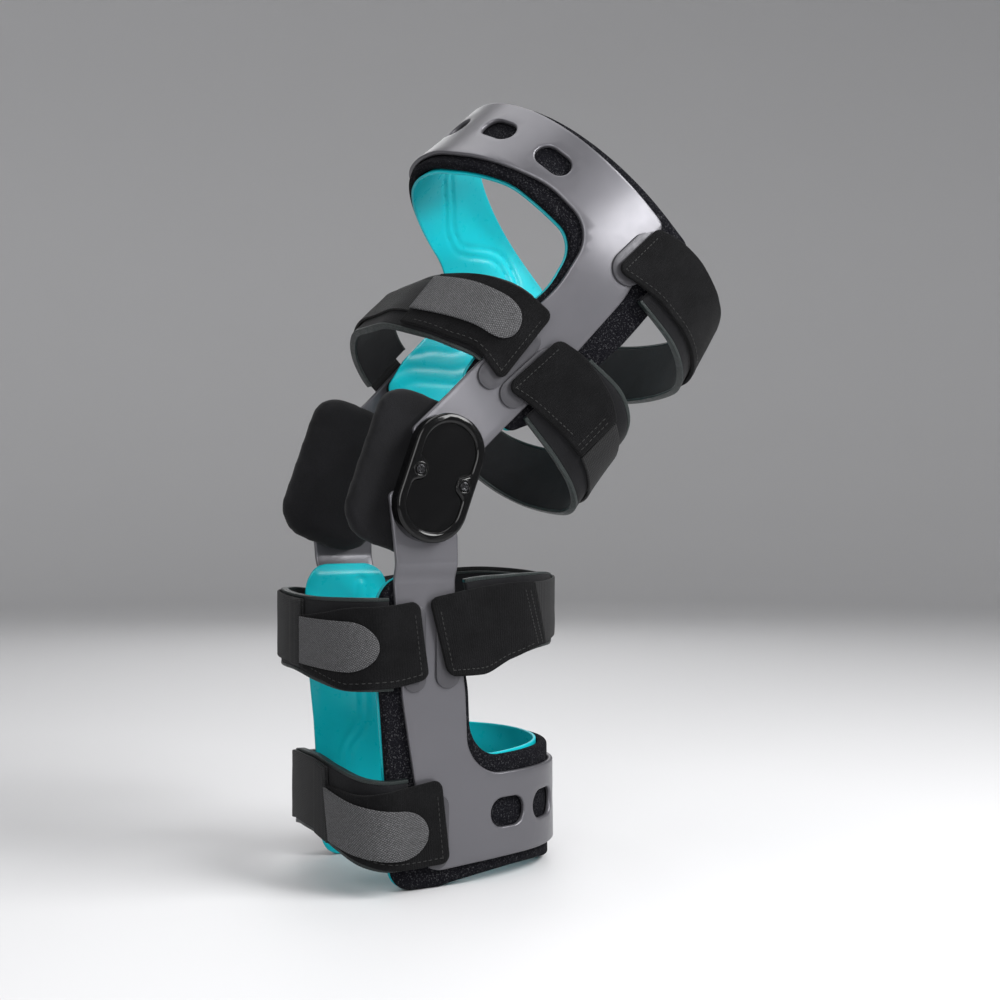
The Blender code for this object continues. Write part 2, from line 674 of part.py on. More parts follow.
def make_hinge(side_name, side, parent):
    """One side's hinge: cover, plate, two pivot pins, two screws and the soft condyle pad."""
    centre = PIVOT_SPACING / 2
    make_cover(f"{side_name}_hinge_cover", side, "cover_black", parent)
    prism(f"{side_name}_hinge_plate", stadium(*PLATE_SIZE, (0.0, centre)), *PLATE_FACES,
          side, "hinge_steel", parent)
    for word, height in (("lower", 0.0), ("upper", PIVOT_SPACING)):
        prism(f"{side_name}_{word}_pin", arc_points((0.0, height), PIN_RADIUS, 0, 330, 12),
              PLATE_FACES[1] + GAP, COVER_BASE - GAP, side, "hinge_steel", parent)
    for word, across in (("front", -SCREW_OFFSET), ("rear", SCREW_OFFSET)):
        prism(f"{side_name}_{word}_screw", arc_points((across, centre), SCREW_RADIUS, 0, 324, 10),
              COVER_TOP + GAP, COVER_TOP + GAP + 0.8, side, "hinge_steel", parent)
    make_condyle_pad(f"{side_name}_condyle_pad", side, parent)


def make_bodies():
    """Empties on the joint axes: the calf stands still, the hinges and the thigh turn."""
    (lower_y, lower_z), (upper_y, upper_z) = pivot_place(-1), pivot_place(1)
    lower, upper = (0.0, HINGE_Y + lower_y, lower_z), (0.0, HINGE_Y + upper_y, upper_z)
    calf = empty("calf_body", (0.0, HINGE_Y, 0.0), 0.0)
    lateral = empty("lateral_hinge_body", lower, HINGE_LEAN, calf)
    medial = empty("medial_hinge_body", lower, HINGE_LEAN, calf)
    thigh = empty("thigh_body", upper, THIGH_LEAN, lateral)
    return {"calf": calf, "lateral_hinge": lateral, "medial_hinge": medial, "thigh": thigh}


def main():
    clear_scene()
    bodies = make_bodies()
    shells = make_shells(bodies)
    make_strap_tabs(shells, bodies)
    for name in STRAPS:
        make_strap(name, bodies)
    make_hinge("lateral", 1, bodies["lateral_hinge"])
    make_hinge("medial", -1, bodies["medial_hinge"])


main()
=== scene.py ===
"""Dresses the hinged knee brace: satin frames, padding, straps, hinge covers and condyle pads.

Shapes are worked out in millimetres on the leg's own axes and end in metres. A shell or a strap is
cut flat, with the edge profile that the real piece has, scored, and laid on its guide surface.
"""

import json
import math

import bmesh
import bpy
import numpy as np
from mathutils import Matrix, Vector, noise


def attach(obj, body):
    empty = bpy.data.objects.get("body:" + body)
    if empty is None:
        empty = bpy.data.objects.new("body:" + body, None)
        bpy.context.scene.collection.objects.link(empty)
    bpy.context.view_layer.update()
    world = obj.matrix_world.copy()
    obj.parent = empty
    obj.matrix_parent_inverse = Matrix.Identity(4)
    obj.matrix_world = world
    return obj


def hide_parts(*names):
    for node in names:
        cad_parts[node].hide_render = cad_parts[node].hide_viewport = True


bl_info = {
    "name": "Knee Brace Dressing",
    "version": (1, 0, 0),
    "blender": (4, 5, 0),
    "location": "View3D > Sidebar > Knee Brace",
    "description": "Models and finishes the shells, padding, straps and hinges of a knee brace",
    "category": "Object",
}

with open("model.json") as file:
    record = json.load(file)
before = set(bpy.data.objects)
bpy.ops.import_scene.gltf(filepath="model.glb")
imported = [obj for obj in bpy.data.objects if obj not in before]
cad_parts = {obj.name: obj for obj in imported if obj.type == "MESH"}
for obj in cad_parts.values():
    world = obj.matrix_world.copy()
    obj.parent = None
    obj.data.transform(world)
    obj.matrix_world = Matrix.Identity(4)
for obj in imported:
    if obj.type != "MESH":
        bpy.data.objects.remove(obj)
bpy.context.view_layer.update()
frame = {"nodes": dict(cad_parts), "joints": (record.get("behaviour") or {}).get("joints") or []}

MM = 0.001

# Where the joint stands, from the frame's own pivots
PIVOTS = {joint["name"]: Vector(joint["pos_m"]) / MM for joint in frame["joints"]}
LOWER = PIVOTS["lateral_knee_pivot"]
UPPER = PIVOTS["thigh_knee_pivot"]
PIVOT_SPACING = (UPPER - LOWER).length
HINGE_LEAN = math.degrees(math.atan2(UPPER.y - LOWER.y, UPPER.z - LOWER.z))
HINGE_Y = (UPPER.y + LOWER.y) / 2
THIGH_LEAN = 47.0

# The layers, as in the frame
GAP = 0.35
LAYER_GAP = 0.7
FRAME_SHEET = 3.0
FOAM = 6.0
LINER_FACE = 1.8
FOAM_TUCK = 3.2
TUCK_START = 24.0
TUCK_BEND = 0.03
TAB = 1.1
PAD = 3.6
BAND = 2.4
WEBBING = 1.5
HOOK_TAB = 1.2
STRAP_HALF = 22.0
STRAP_SAMPLES = 160

# Outlines of the leg's cross-section, from low to high:
#   height, half width, flat run beside the upright, roundness of the curve (2 is an ellipse)
THIGH_LEVELS = [
    (0, 60.0, 8.0, 4.0),
    (30, 60.0, 8.0, 4.0),
    (55, 62.0, 8.0, 3.4),
    (75, 65.5, 8.0, 2.8),
    (100, 71.0, 8.0, 2.4),
    (136, 79.5, 8.0, 2.2),
    (182, 84.0, 8.0, 2.0),
]
THIGH_ARC = 157.0
THIGH_CUFF = (135.0, 178.0)
THIGH_SLOT = (22.0, 14.0)
THIGH_SLOT_PITCH = 40.0
THIGH_SLOT_HEIGHT = 156.5

CALF_LEVELS = [
    (0, 55.0, 25.0, 2.1),
    (60, 56.0, 25.0, 2.1),
    (110, 56.0, 25.0, 2.4),
    (163, 56.0, 25.0, 3.0),
    (175, 60.0, 25.0, 4.0),
    (225, 60.0, 25.0, 4.0),
]
CALF_ARC = 128.0
CALF_CUFF = (9.0, 59.0)
CALF_ARCH = 4.0
CALF_LINER_ARCH = 6.0
CALF_SLOT = (24.0, 16.0)
CALF_SLOT_PITCH = 32.0
CALF_SLOT_HEIGHT = 37.0

TOE_IN_RADIUS = 1000.0
UPRIGHT_END_RADIUS = 13.8
PIN_RADIUS = 5.0
PIN_CLEARANCE = 0.35
COVER_SIZE = (41.0, 70.0)
COVER_BASE = 60.4
COVER_TOP = 69.0
COVER_RIM = 5.4
SCREW_OFFSET = 13.4
SCREW_RADIUS = 2.5
SCREW_GAP = 0.35
SCREW_HEAD = 0.9
BOSS_RADIUS = 4.1
BOSS_RISE = 0.45
PANEL_SUNK = 1.5
PANEL_DOME = 0.7
NOTCH_DEPTH = 6.4
NOTCH_HALF = 5.6

# Condyle pad: front, rear, low and high edge about the hinge, how far out its back lies, the rings
# of its skin from the back to the leg (inset, height), and how thick a layer of it is held
CONDYLE_SPAN = (-39.5, 19.5, -29.0, 56.5)
CONDYLE_BACK = 53.2
CONDYLE_RINGS = [(3.0, 0.0), (0.8, 1.6), (0.0, 5.0), (0.8, 9.0), (3.5, 12.5), (8.0, 14.6),
                 (13.5, 15.6)]
CONDYLE_HELD = 4.0


def leaning(pivot, degrees):
    """A body's own axes: they stand at its pivot and lean back with it."""
    return (Matrix.Translation((0.0, pivot.y, pivot.z))
            @ Matrix.Rotation(math.radians(-degrees), 4, "X"))


BODY_PLACES = {
    "calf": Matrix.Translation((0.0, HINGE_Y, 0.0)),
    "thigh": leaning(UPPER, THIGH_LEAN),
    "lateral_hinge": leaning(LOWER, HINGE_LEAN),
    "medial_hinge": leaning(LOWER, HINGE_LEAN),
}

# Cut and sewing of the straps
BAND_CORNER = 5.0
FOLD_GAP = 0.8
SEAM_INSET = 3.6
SEAM_STEP = 6.0
BINDING_HALF = 0.95
BINDING_OUT = 0.35
PAD_CROWN = 0.7
PAD_CROWN_RUN = 12.0
KEEPER = 2.3
KEEPER_GAP = 0.6
KEEPER_LENGTH = 10.4

# Camera at the photograph's place: where it stands beside the hinge, its heading and its lens
CAMERA_PLACE = (0.7665, -0.3370 + HINGE_Y * MM, 0.2074)
CAMERA_HEADING = 62.0
CAMERA_LENS = 53.28
TARGET = Vector((0.0, HINGE_Y * MM, 0.22))

# Lights: name, place, size and power
LIGHTS = [
    ("key", (0.75, 0.75, 1.15), 0.7, 18.0),
    ("cuff", (0.66, 0.29, 0.5), 0.28, 3.4),
    ("fill", (1.3, -0.9, 0.7), 1.2, 16.0),
    ("top", (-0.1, -0.1, 1.5), 1.2, 9.0),
    ("back", (-1.2, 0.5, 0.9), 1.0, 4.0),
]

# The floor's rounded rise into the backdrop: radius and height of each ring
SWEEP_RINGS = [(2.2, 0.0), (2.45, 0.04), (2.7, 0.16), (2.88, 0.34), (2.98, 0.58), (3.0, 0.85),
               (3.0, 3.2)]


def length_property(name, words, value, low, high):
    return bpy.props.FloatProperty(name=name, description=words, default=value, min=low, max=high,
                                   unit="LENGTH")


class BraceSizes(bpy.types.PropertyGroup):
    """Sizes that only the dressing has, in metres; the frame's own sizes are fixed."""

    frame_edge: length_property(
        "Frame edge radius", "Rounding of the rigid frame's rims", 0.0011, 0.0002, 0.0014)
    foam_edge: length_property(
        "Foam edge radius", "Rounding of the padding's rims", 0.0026, 0.0005, 0.0029)
    shell_step: length_property(
        "Shell facet", "Length of a facet round a shell", 0.004, 0.002, 0.014)
    groove_depth: length_property(
        "Groove depth", "Depth of the moulded waves in the liner's face", 0.001, 0.0, 0.0014)
    groove_width: length_property(
        "Groove width", "Half width of a moulded wave", 0.0016, 0.0008, 0.004)
    strap_step: length_property(
        "Strap facet", "Length of a facet along a strap", 0.003, 0.0015, 0.01)
    strap_sag: length_property(
        "Strap unevenness", "How far strap cloth wanders off its guide", 0.0003, 0.0, 0.0006)
    stitch_length: length_property(
        "Stitch length", "Length of one stitch that shows", 0.0021, 0.001, 0.004)
    stitch_width: length_property(
        "Thread thickness", "Thickness of the sewing thread", 0.0005, 0.0002, 0.001)
    weave_pitch: length_property(
        "Hook tab weave", "Distance between the twill's ribs", 0.001, 0.0005, 0.004)
    pad_cap: length_property(
        "Condyle pad swell", "How far the air in a condyle pad may push its skin",
        0.004, 0.0, 0.008)


def colour_property(name, words, value):
    return bpy.props.FloatVectorProperty(name=name, description=words, default=value, size=3,
                                         min=0.0, max=1.0, subtype="COLOR")


class BraceColours(bpy.types.PropertyGroup):
    """Main colours, in linear light."""

    frame_grey: colour_property("Frame", "Satin coat of the rigid frames", (0.106, 0.104, 0.115))
    foam_black: colour_property("Foam", "Closed-cell padding", (0.0042, 0.0042, 0.0058))
    foam_speck: colour_property("Foam specks", "Cut cells in the padding", (0.05, 0.05, 0.054))
    liner_teal: colour_property("Liner face", "Moulded face towards the leg", (0.004, 0.375, 0.43))
    loop_black: colour_property("Loop cloth", "Brushed strap cloth", (0.003, 0.003, 0.0032))
    loop_nap: colour_property("Loop nap", "Raised fibres of strap cloth", (0.013, 0.013, 0.014))
    webbing_grey: colour_property("Webbing", "Woven strap ends", (0.0135, 0.0135, 0.0142))
    hook_grey: colour_property("Hook tab", "Twill back of the hook tabs", (0.049, 0.049, 0.0512))
    tab_smoke: colour_property("Strap tongue", "Plastic under strap ends", (0.058, 0.057, 0.063))
    cover_black: colour_property("Hinge cover", "Glossy hinge cover", (0.0028, 0.0028, 0.003))
    pad_black: colour_property("Pad cloth", "Soft cloth of pads", (0.006, 0.006, 0.0068))
    binding_black: colour_property("Pad binding", "Bound edge of pads", (0.009, 0.014, 0.0135))
    steel: colour_property("Steel", "Hinge plates and pins", (0.45, 0.45, 0.46))
    screw_black: colour_property("Screws", "Blackened steel", (0.03, 0.03, 0.032))
    thread: colour_property("Thread", "Sewing thread", (0.0105, 0.0105, 0.0102))
    floor: colour_property("Floor", "Studio floor and backdrop", (0.62, 0.62, 0.63))


def sizes():
    return bpy.context.scene.brace_sizes


def colours():
    return bpy.context.scene.brace_colours


def smooth_row(rows, where):
    """Read a table at any height, easing through its rows. The first column is the height."""
    table = np.array(rows, dtype=float)
    heights, values = table[:, 0], table[:, 1:]
    rises = np.diff(values, axis=0) / np.diff(heights)[:, None]
    before, after = np.vstack([rises[:1], rises]), np.vstack([rises, rises[-1:]])
    slopes = np.where(before * after > 0, (before + after) / 2, 0.0)
    limit = 2 * np.minimum(np.abs(before), np.abs(after))
    slopes = np.clip(slopes, -limit, limit)
    where = float(np.clip(where, heights[0], heights[-1]))
    i = int(np.clip(np.searchsorted(heights, where) - 1, 0, len(heights) - 2))
    span = heights[i + 1] - heights[i]
    t = (where - heights[i]) / span
    start, end = 2 * t**3 - 3 * t**2 + 1, 3 * t**2 - 2 * t**3
    leave, arrive = t**3 - 2 * t**2 + t, t**3 - t**2
    return (start * values[i] + end * values[i + 1]
            + span * (leave * slopes[i] + arrive * slopes[i + 1]))


def arc_points(centre, radius, start, end, count):
    """Points on an arc, angles in degrees, both ends included."""
    angles = np.radians(np.linspace(start, end, count))
    return [(centre[0] + radius * math.cos(a), centre[1] + radius * math.sin(a)) for a in angles]


def rounded(corners, facet=1.4):
    """A closed outline from corners (a, b, radius), each corner turned with a fillet arc."""
    outline = []
    count = len(corners)
    for i, (a, b, radius) in enumerate(corners):
        here = Vector((a, b))
        if radius <= 0:
            outline.append((a, b))
            continue
        back = (Vector(corners[i - 1][:2]) - here).normalized()
        ahead = (Vector(corners[(i + 1) % count][:2]) - here).normalized()
        half = back.angle(ahead) / 2
        reach = radius / math.tan(half)
        centre = here + (back + ahead).normalized() * (radius / math.sin(half))
        first = here + back * reach - centre
        sweep = first.angle_signed(here + ahead * reach - centre)
        segments = min(28, max(3, round(abs(sweep) * radius / facet)))
        for k in range(segments + 1):
            point = centre + Matrix.Rotation(-sweep * k / segments, 2) @ first
            outline.append((point.x, point.y))
    return outline


def stadium(width, height, centre=(0.0, 0.0), facet=1.2):
    """A slot with round ends; its long side runs the way that is longer."""
    radius = min(width, height) / 2
    a, b = centre
    corners = [(a - width / 2, b - height / 2), (a + width / 2, b - height / 2),
               (a + width / 2, b + height / 2), (a - width / 2, b + height / 2)]
    return rounded([(x, y, radius * 0.98) for x, y in corners], facet)


class LegShell:
    """Outer face of a rigid shell that wraps the front or the back of the leg.

    A flat point is (s, h): s runs along the wrap from the joint's plane on the outer side, h is
    the height. The depth of each level is solved so that all levels have one length.
    """

    def __init__(self, levels, arc, wrap):
        self.levels = levels
        self.arc = arc
        self.wrap = wrap
        self.known = {}

    def quarter(self, half_width, depth, exponent):
        angles = np.linspace(0.0, math.pi / 2, 160)
        reach = ((np.cos(angles) / half_width)**exponent
                 + (np.sin(angles) / depth)**exponent)**(-1 / exponent)
        x, v = reach * np.cos(angles), reach * np.sin(angles)
        run = np.concatenate([[0.0], np.cumsum(np.hypot(np.diff(x), np.diff(v)))])
        return x, v, run

    def level(self, height):
        """Everything about one whole-millimetre level, worked out once."""
        if height not in self.known:
            half_width, turn, exponent = smooth_row(self.levels, height)
            low, high = 20.0, 200.0
            while high - low > 0.01:
                middle = (low + high) / 2
                long_enough = turn + self.quarter(half_width, middle, exponent)[2][-1] > self.arc
                low, high = (low, middle) if long_enough else (middle, high)
            xs, vs, run = self.quarter(half_width, low, exponent)
            nx = xs**(exponent - 1) / half_width**exponent
            nv = vs**(exponent - 1) / low**exponent
            length = np.hypot(nx, nv)
            fraction = run / run[-1]
            self.known[height] = (half_width, turn, fraction, xs, vs, nx / length, nv / length)
        return self.known[height]

    def on_level(self, s, height):
        half_width, turn, fraction, xs, vs, nx, nv = self.level(height)
        if s <= turn:
            toe = min(0.0, s)
            normal = Vector((1.0, toe / TOE_IN_RADIUS)).normalized()
            return np.array([half_width - toe**2 / (2 * TOE_IN_RADIUS), s, normal.x, normal.y])
        along = (s - turn) / (self.arc - turn)
        x, v, nx, nv = [np.interp(along, fraction, column) for column in (xs, vs, nx, nv)]
        return np.array([x, v + turn, nx, nv])

    def place(self, s, h, offset):
        side = 1.0
        if s > self.arc:
            side, s = -1.0, 2 * self.arc - s
        below = math.floor(h)
        share = h - below
        x, v, nx, nv = (self.on_level(s, below) * (1 - share)
                        + self.on_level(s, below + 1) * share)
        return Vector((side * (x + nx * offset), self.wrap * (v + nv * offset), h))


class StrapRun:
    """A strap's guide surface from the outer upright round the leg to the inner upright.

    Each row gives one station: x, y, low edge, high edge, and how far y moves from low to high.
    A flat point is (u, b): u is the length along the strap and b runs across it.
    """

    def __init__(self, rows, turn, flare=0.0):
        self.turn = turn
        self.flare = flare
        stations = np.array(rows, dtype=float)
        knots = np.concatenate([[0.0], np.cumsum(np.hypot(*np.diff(stations[:, :2], axis=0).T))])
        table = np.column_stack([knots, stations])
        fine = np.linspace(0.0, knots[-1], STRAP_SAMPLES)
        self.samples = np.array([smooth_row(table, f) for f in fine])
        steps = np.hypot(*np.diff(self.samples[:, :2], axis=0).T)
        self.run = np.concatenate([[0.0], np.cumsum(steps)])
        self.length = float(self.run[-1])

    def at(self, u):
        return [float(np.interp(u, self.run, column)) for column in self.samples.T]

    def point(self, u, w):
        x, y, low, high, lean = self.at(u)
        middle, half = (low + high) / 2, (high - low) / 2
        grow = 1 + self.flare * w * half / 100
        return Vector((x * grow, y + w * lean / 2, middle + w * half))

    def place(self, u, b, offset):
        reach, w = 3.0, b / STRAP_HALF
        along = self.point(min(u + reach, self.length), w) - self.point(max(u - reach, 0.0), w)
        across = self.point(u, 1.0) - self.point(u, -1.0)
        out = along.cross(across).normalized() * self.turn
        return self.point(u, w) + out * offset

    def find(self, y, start, end):
        """Length along the strap where it comes nearest to y, between two fractions of it."""
        first, last = int(start * (STRAP_SAMPLES - 1)), int(end * (STRAP_SAMPLES - 1))
        nearest = np.argmin(np.abs(self.samples[first:last + 1, 1] - y))
        return float(self.run[first + nearest])


class SidePlate:
    """A flat guide across a hinge: (a, b) is (y, z), and offset goes out from a given x."""

    def __init__(self, side, base):
        self.side = side
        self.base = base

    def place(self, a, b, offset):
        return Vector((self.side * (self.base + offset), a, b))


def two_halves(outer, inner, arc):
    """Corners of a whole wrapped pattern from the corners of its two halves."""
    return outer + [(2 * arc - s, h, radius) for s, h, radius in reversed(inner)]


def plain(points):
    return [(a, b, 0.0) for a, b in points]


def circle(centre, radius, count=36):
    return arc_points(centre, radius, 0, 360 - 360 / count, count)


def pivot_hole(centre):
    return circle(centre, PIN_RADIUS + PIN_CLEARANCE, 24)


def calf_pivot():
    return LOWER.y - HINGE_Y, LOWER.z


def thigh_frame_outline():
    window, rim = THIGH_CUFF
    half = [(127.0, window - 6.5, 60.0), (68.0, window + 8.0, 60.0), (34.0, window + 7.0, 22.0),
            (23.0, 108.0, 60.0), (21.0, 25.0, 30.0), (21.5, -4.5, 3.0)]
    half += plain(arc_points((0.0, 0.0), UPRIGHT_END_RADIUS, 305, 185, 14))
    half += [(-15.0, 10.0, 5.0), (-15.0, 55.0, 60.0), (-12.0, 92.0, 60.0), (-7.0, 132.0, 60.0),
             (1.0, 160.0, 40.0), (8.5, rim, 5.0)]
    return rounded(two_halves(half, half, THIGH_ARC))


def thigh_liner_outline(tuck):
    """The padding shows below the cuff, round the window and behind the upright."""
    outer_window = [(127.0, 122.0, 60.0), (86.0, 133.0, 60.0), (35.0, 134.0, 20.0),
                    (25.0, 108.0, 40.0), (25.0, 60.0, 20.0)]
    inner_window = [(127.0, 122.0 + tuck, 60.0), (25.0 - tuck, 126.0 + tuck, 33.0),
                    (25.0 - tuck, 60.0, 20.0)]
    halves = []
    for rim, window in ((186.0, outer_window), (175.0, inner_window)):
        half = window + [(20.0, 38.0, 6.0)]
        half += plain(arc_points((0.0, 0.0), 42.0, 68, 112, 8))
        half += [(-20.0, 38.0, 6.0), (-27.5, 56.0, 12.0), (-27.5, 118.0, 40.0),
                 (-23.0, 156.0, 40.0), (-13.0, rim, 8.0)]
        halves.append(half)
    return rounded(two_halves(*halves, THIGH_ARC))


def slot_row(size, pitch, height, arc, count):
    """Slots side by side round a cuff, the same number on each half."""
    return [stadium(*size, (arc + (k - (count - 1) / 2) * pitch, height)) for k in range(count)]


def rest_arch(s, start, rise, end):
    """A lower edge that is level up to its start and past its end, and arched between them."""
    return rise * math.sin(math.pi * min(1.0, max(0.0, (s - start) / (end - start))))


def rest_ramp(s, rise, run=60.0):
    """A lower edge that eases up to its rise over its run and stays there."""
    return rise * math.sin(math.pi / 2 * min(1.0, max(0.0, s / run)))


def calf_frame_outline():
    foot, rim = CALF_CUFF
    half = [(22.0, rim, 22.0), (20.0, 105.0, 60.0), (14.0, 152.0, 40.0), (13.5, 188.0, 5.0)]
    half += plain(arc_points(calf_pivot(), UPRIGHT_END_RADIUS, 5, 125, 14))
    half += [(-26.5, 211.0, 3.0), (-22.6, 178.0, 60.0), (-21.0, 150.0, 60.0),
             (-16.8, 102.0, 60.0), (-9.3, 54.5, 60.0), (-2.5, foot, 10.0)]
    half += [(s, foot + rest_ramp(s, CALF_ARCH), 0.0) for s in range(18, 127, 6)]
    return rounded(two_halves(half, half, CALF_ARC))


def calf_liner_outline(tuck):
    """The inner half reaches further round the front of the leg than the outer half."""
    halves = []
    for rim, top, fronts, edge in ((67.5, 167.5, (-28.0, -29.5, -26.0, -20.5), 0.0),
                                   (75.0, 170.0, (-36.0, -35.0, -29.0, -23.0), tuck)):
        high, middle, low, foot = (front + edge for front in fronts)
        half = [(25.5, rim - edge, 20.0), (24.0, 105.0, 60.0), (18.0, 140.0, 40.0),
                (17.0, top - edge, 14.0), (high, top - edge, 17.0), (middle, 128.0, 60.0),
                (low, 80.0, 60.0), (foot, 0.0, 12.0), (6.0, 0.0, 0.0)]
        half += [(s, rest_arch(s, 6.0, CALF_LINER_ARCH, 116.0), 0.0)
                 for s in range(12, 127, 6)]
        halves.append(half)
    return rounded(two_halves(*halves, CALF_ARC))


THIGH_SHELL = LegShell(THIGH_LEVELS, THIGH_ARC, -1)
CALF_SHELL = LegShell(CALF_LEVELS, CALF_ARC, 1)


def there_and_back(rows):
    """A strap that is the same on both sides, from the rows up to its middle."""
    return rows + [(-x, *others) for x, *others in reversed(rows[:-1])]


# Strap guides, from the outer upright round to the inner one:
#   x, y, low edge, high edge, how far y moves from the low edge to the high edge
STRAP_ROWS = {
    "thigh_front_strap": [
        (66.8, -10.5, 50.0, 95.5, -8.5),
        (66.4, -28.0, 51.0, 92.0, -6.0),
        (55.0, -47.0, 50.0, 86.0, -4.0),
        (38.0, -58.5, 46.0, 79.0, -2.0),
        (14.0, -64.0, 43.0, 75.0, 0.0),
        (-14.0, -64.0, 40.0, 72.0, 0.0),
        (-40.0, -56.0, 37.0, 70.0, 0.0),
        (-57.0, -41.0, 36.0, 70.0, 0.0),
        (-64.0, -26.0, 36.0, 70.0, 0.0),
        (-63.2, -6.0, 36.0, 70.0, 0.0),
    ],
    "thigh_lower_back_strap": [
        (65.6, -2.0, 49.8, 90.6, 0.0),
        (67.5, 20.0, 48.5, 94.0, 0.0),
        (67.0, 43.0, 48.0, 97.0, 0.0),
        (64.0, 61.5, 46.0, 93.0, -3.0),
        (53.0, 75.5, 43.0, 86.0, -9.0),
        (30.0, 81.0, 42.0, 80.0, -13.0),
        (0.0, 77.0, 42.0, 79.0, -13.0),
        (-32.0, 65.5, 43.0, 79.0, -8.0),
        (-53.0, 48.0, 45.0, 80.0, 0.0),
        (-64.5, 27.0, 47.0, 84.0, 0.0),
        (-65.6, -2.0, 49.8, 90.6, 0.0),
    ],
    "thigh_upper_back_strap": there_and_back([
        (81.8, -10.0, 136.5, 175.6, 0.0),
        (84.5, 12.0, 137.0, 176.0, -1.0),
        (83.5, 36.0, 138.0, 177.0, -4.0),
        (72.0, 58.0, 139.0, 178.0, -9.0),
        (44.0, 74.0, 141.0, 178.0, -12.0),
        (0.0, 78.0, 142.0, 178.0, -13.0),
    ]),
    "calf_upper_front_strap": [
        (56.2, -6.0, 112.0, 154.0, -6.0),
        (56.2, -26.0, 109.0, 153.0, -2.0),
        (48.0, -41.5, 109.0, 153.0, 0.0),
        (28.0, -53.0, 112.0, 153.0, 0.0),
        (0.0, -57.5, 115.0, 154.0, 0.0),
        (-28.0, -53.0, 115.0, 155.0, 0.0),
        (-48.0, -41.5, 114.0, 155.0, 0.0),
        (-56.2, -26.0, 112.0, 154.0, -2.0),
        (-56.2, -6.0, 112.0, 154.0, -6.0),
    ],
    "calf_upper_back_strap": [
        (56.0, 2.5, 114.0, 155.5, -11.0),
        (57.0, 25.0, 112.0, 159.0, -6.0),
        (57.5, 46.0, 122.0, 161.0, 0.0),
        (54.0, 64.5, 132.0, 162.0, 0.0),
        (41.0, 79.5, 135.0, 163.0, 0.0),
        (20.0, 89.0, 136.0, 164.0, 0.0),
        (-10.0, 90.5, 136.0, 165.0, 0.0),
        (-38.0, 78.0, 135.0, 166.0, 0.0),
        (-54.0, 55.0, 130.0, 164.0, 0.0),
        (-57.0, 25.0, 116.0, 160.0, -6.0),
        (-56.0, 2.5, 114.0, 155.5, -11.0),
    ],
    "calf_lower_front_strap": [
        (56.2, 6.5, 14.0, 58.0, -5.0),
        (56.6, -24.0, 12.0, 56.0, 0.0),
        (49.0, -35.5, 14.0, 57.0, 0.0),
        (28.0, -42.5, 20.0, 61.0, 0.0),
        (0.0, -45.0, 25.0, 65.0, 0.0),
        (-28.0, -42.5, 24.0, 64.0, 0.0),
        (-49.0, -35.5, 19.0, 60.0, 0.0),
        (-56.6, -24.0, 15.0, 58.0, 0.0),
        (-56.2, 6.5, 14.0, 58.0, -5.0),
    ],
}

# How each strap runs:
#   body, way round (-1 front, 1 back), widening per 100 mm of height, y at both ends of its pad
STRAPS = {
    "thigh_front_strap": ("thigh", -1, 0.33, -25.5),
    "thigh_lower_back_strap": ("thigh", 1, 0.33, 18.0),
    "thigh_upper_back_strap": ("thigh", 1, 0.1, 12.0),
    "calf_upper_front_strap": ("calf", -1, 0.0, -24.5),
    "calf_upper_back_strap": ("calf", 1, 0.0, 22.5),
    "calf_lower_front_strap": ("calf", -1, 0.0, -14.0),
}

# Brushed band: rows (u along the strap, low edge, high edge), and where its fold cuts the low and
# the high edge; None where it runs right round
BANDS = {
    "thigh_front_strap": ([(0, -22, 21), (19, -22, 21.5), (39, -28.5, 21.5), (70, -31, 19)],
                          64.5, 67.5),
    "thigh_lower_back_strap": ([(0, -22, 21), (15, -17, 22.5), (38, -13.5, 19), (60, -11, 14)],
                               58.0, 57.0),
    "thigh_upper_back_strap": ([(0, -22, 18), (15, -17, 24), (32, -13, 26), (60, -12.5, 22),
                                (150, -15, 20), (300, -20, 20)], None, None),
    "calf_upper_front_strap": ([(0, -21, 22.5), (24, -22, 21), (41, -23, 20), (53, -21, 17.5),
                                (72, -17, 14)], 71.0, 71.0),
    "calf_upper_back_strap": ([(0, -22.5, 22), (25, -20.5, 23), (41, -22, 24), (54, -25.5, 24),
                               (68, -30, 23)], 66.0, 57.0),
    "calf_lower_front_strap": ([(0, -21.5, 23.5), (27, -20.5, 22), (45, -18.5, 18),
                                (75, -16.5, 14)], 68.0, 73.0),
}

# Pad under the band: rows (u, low, high)
PADS = {
    "thigh_front_strap": [(0, -22, 21), (14, -23, 21), (32, -29, 22), (54, -33, 22),
                          (100, -30, 22), (150, -23, 22), (201, -22, 22)],
    "thigh_lower_back_strap": [(0, -22, 23), (52, -21.5, 23), (100, -18.6, 22), (150, -19, 22),
                               (247, -22, 22)],
    "thigh_upper_back_strap": [(0, -22, 24), (50, -21, 24), (150, -21, 23), (297, -22, 22)],
    "calf_upper_front_strap": [(0, -22, 24), (45, -22.5, 24), (90, -20, 24), (179, -22, 22)],
    "calf_upper_back_strap": [(0, -18, 26), (40, -20.5, 27.5), (66, -31, 29), (84, -34, 25.6),
                              (112, -30, 19), (200, -22, 18), (248, -22, 22)],
    "calf_lower_front_strap": [(0, -20, 25), (47, -20, 25), (90, -20, 24.5), (190, -20, 22)],
}

# Woven end past the fold: low and high edge
WEBBINGS = {
    "thigh_front_strap": (-19.0, 14.5),
    "thigh_lower_back_strap": (-11.0, 14.0),
    "calf_upper_front_strap": (-16.5, 23.5),
    "calf_upper_back_strap": (-28.5, 23.0),
    "calf_lower_front_strap": (-18.0, 24.0),
}

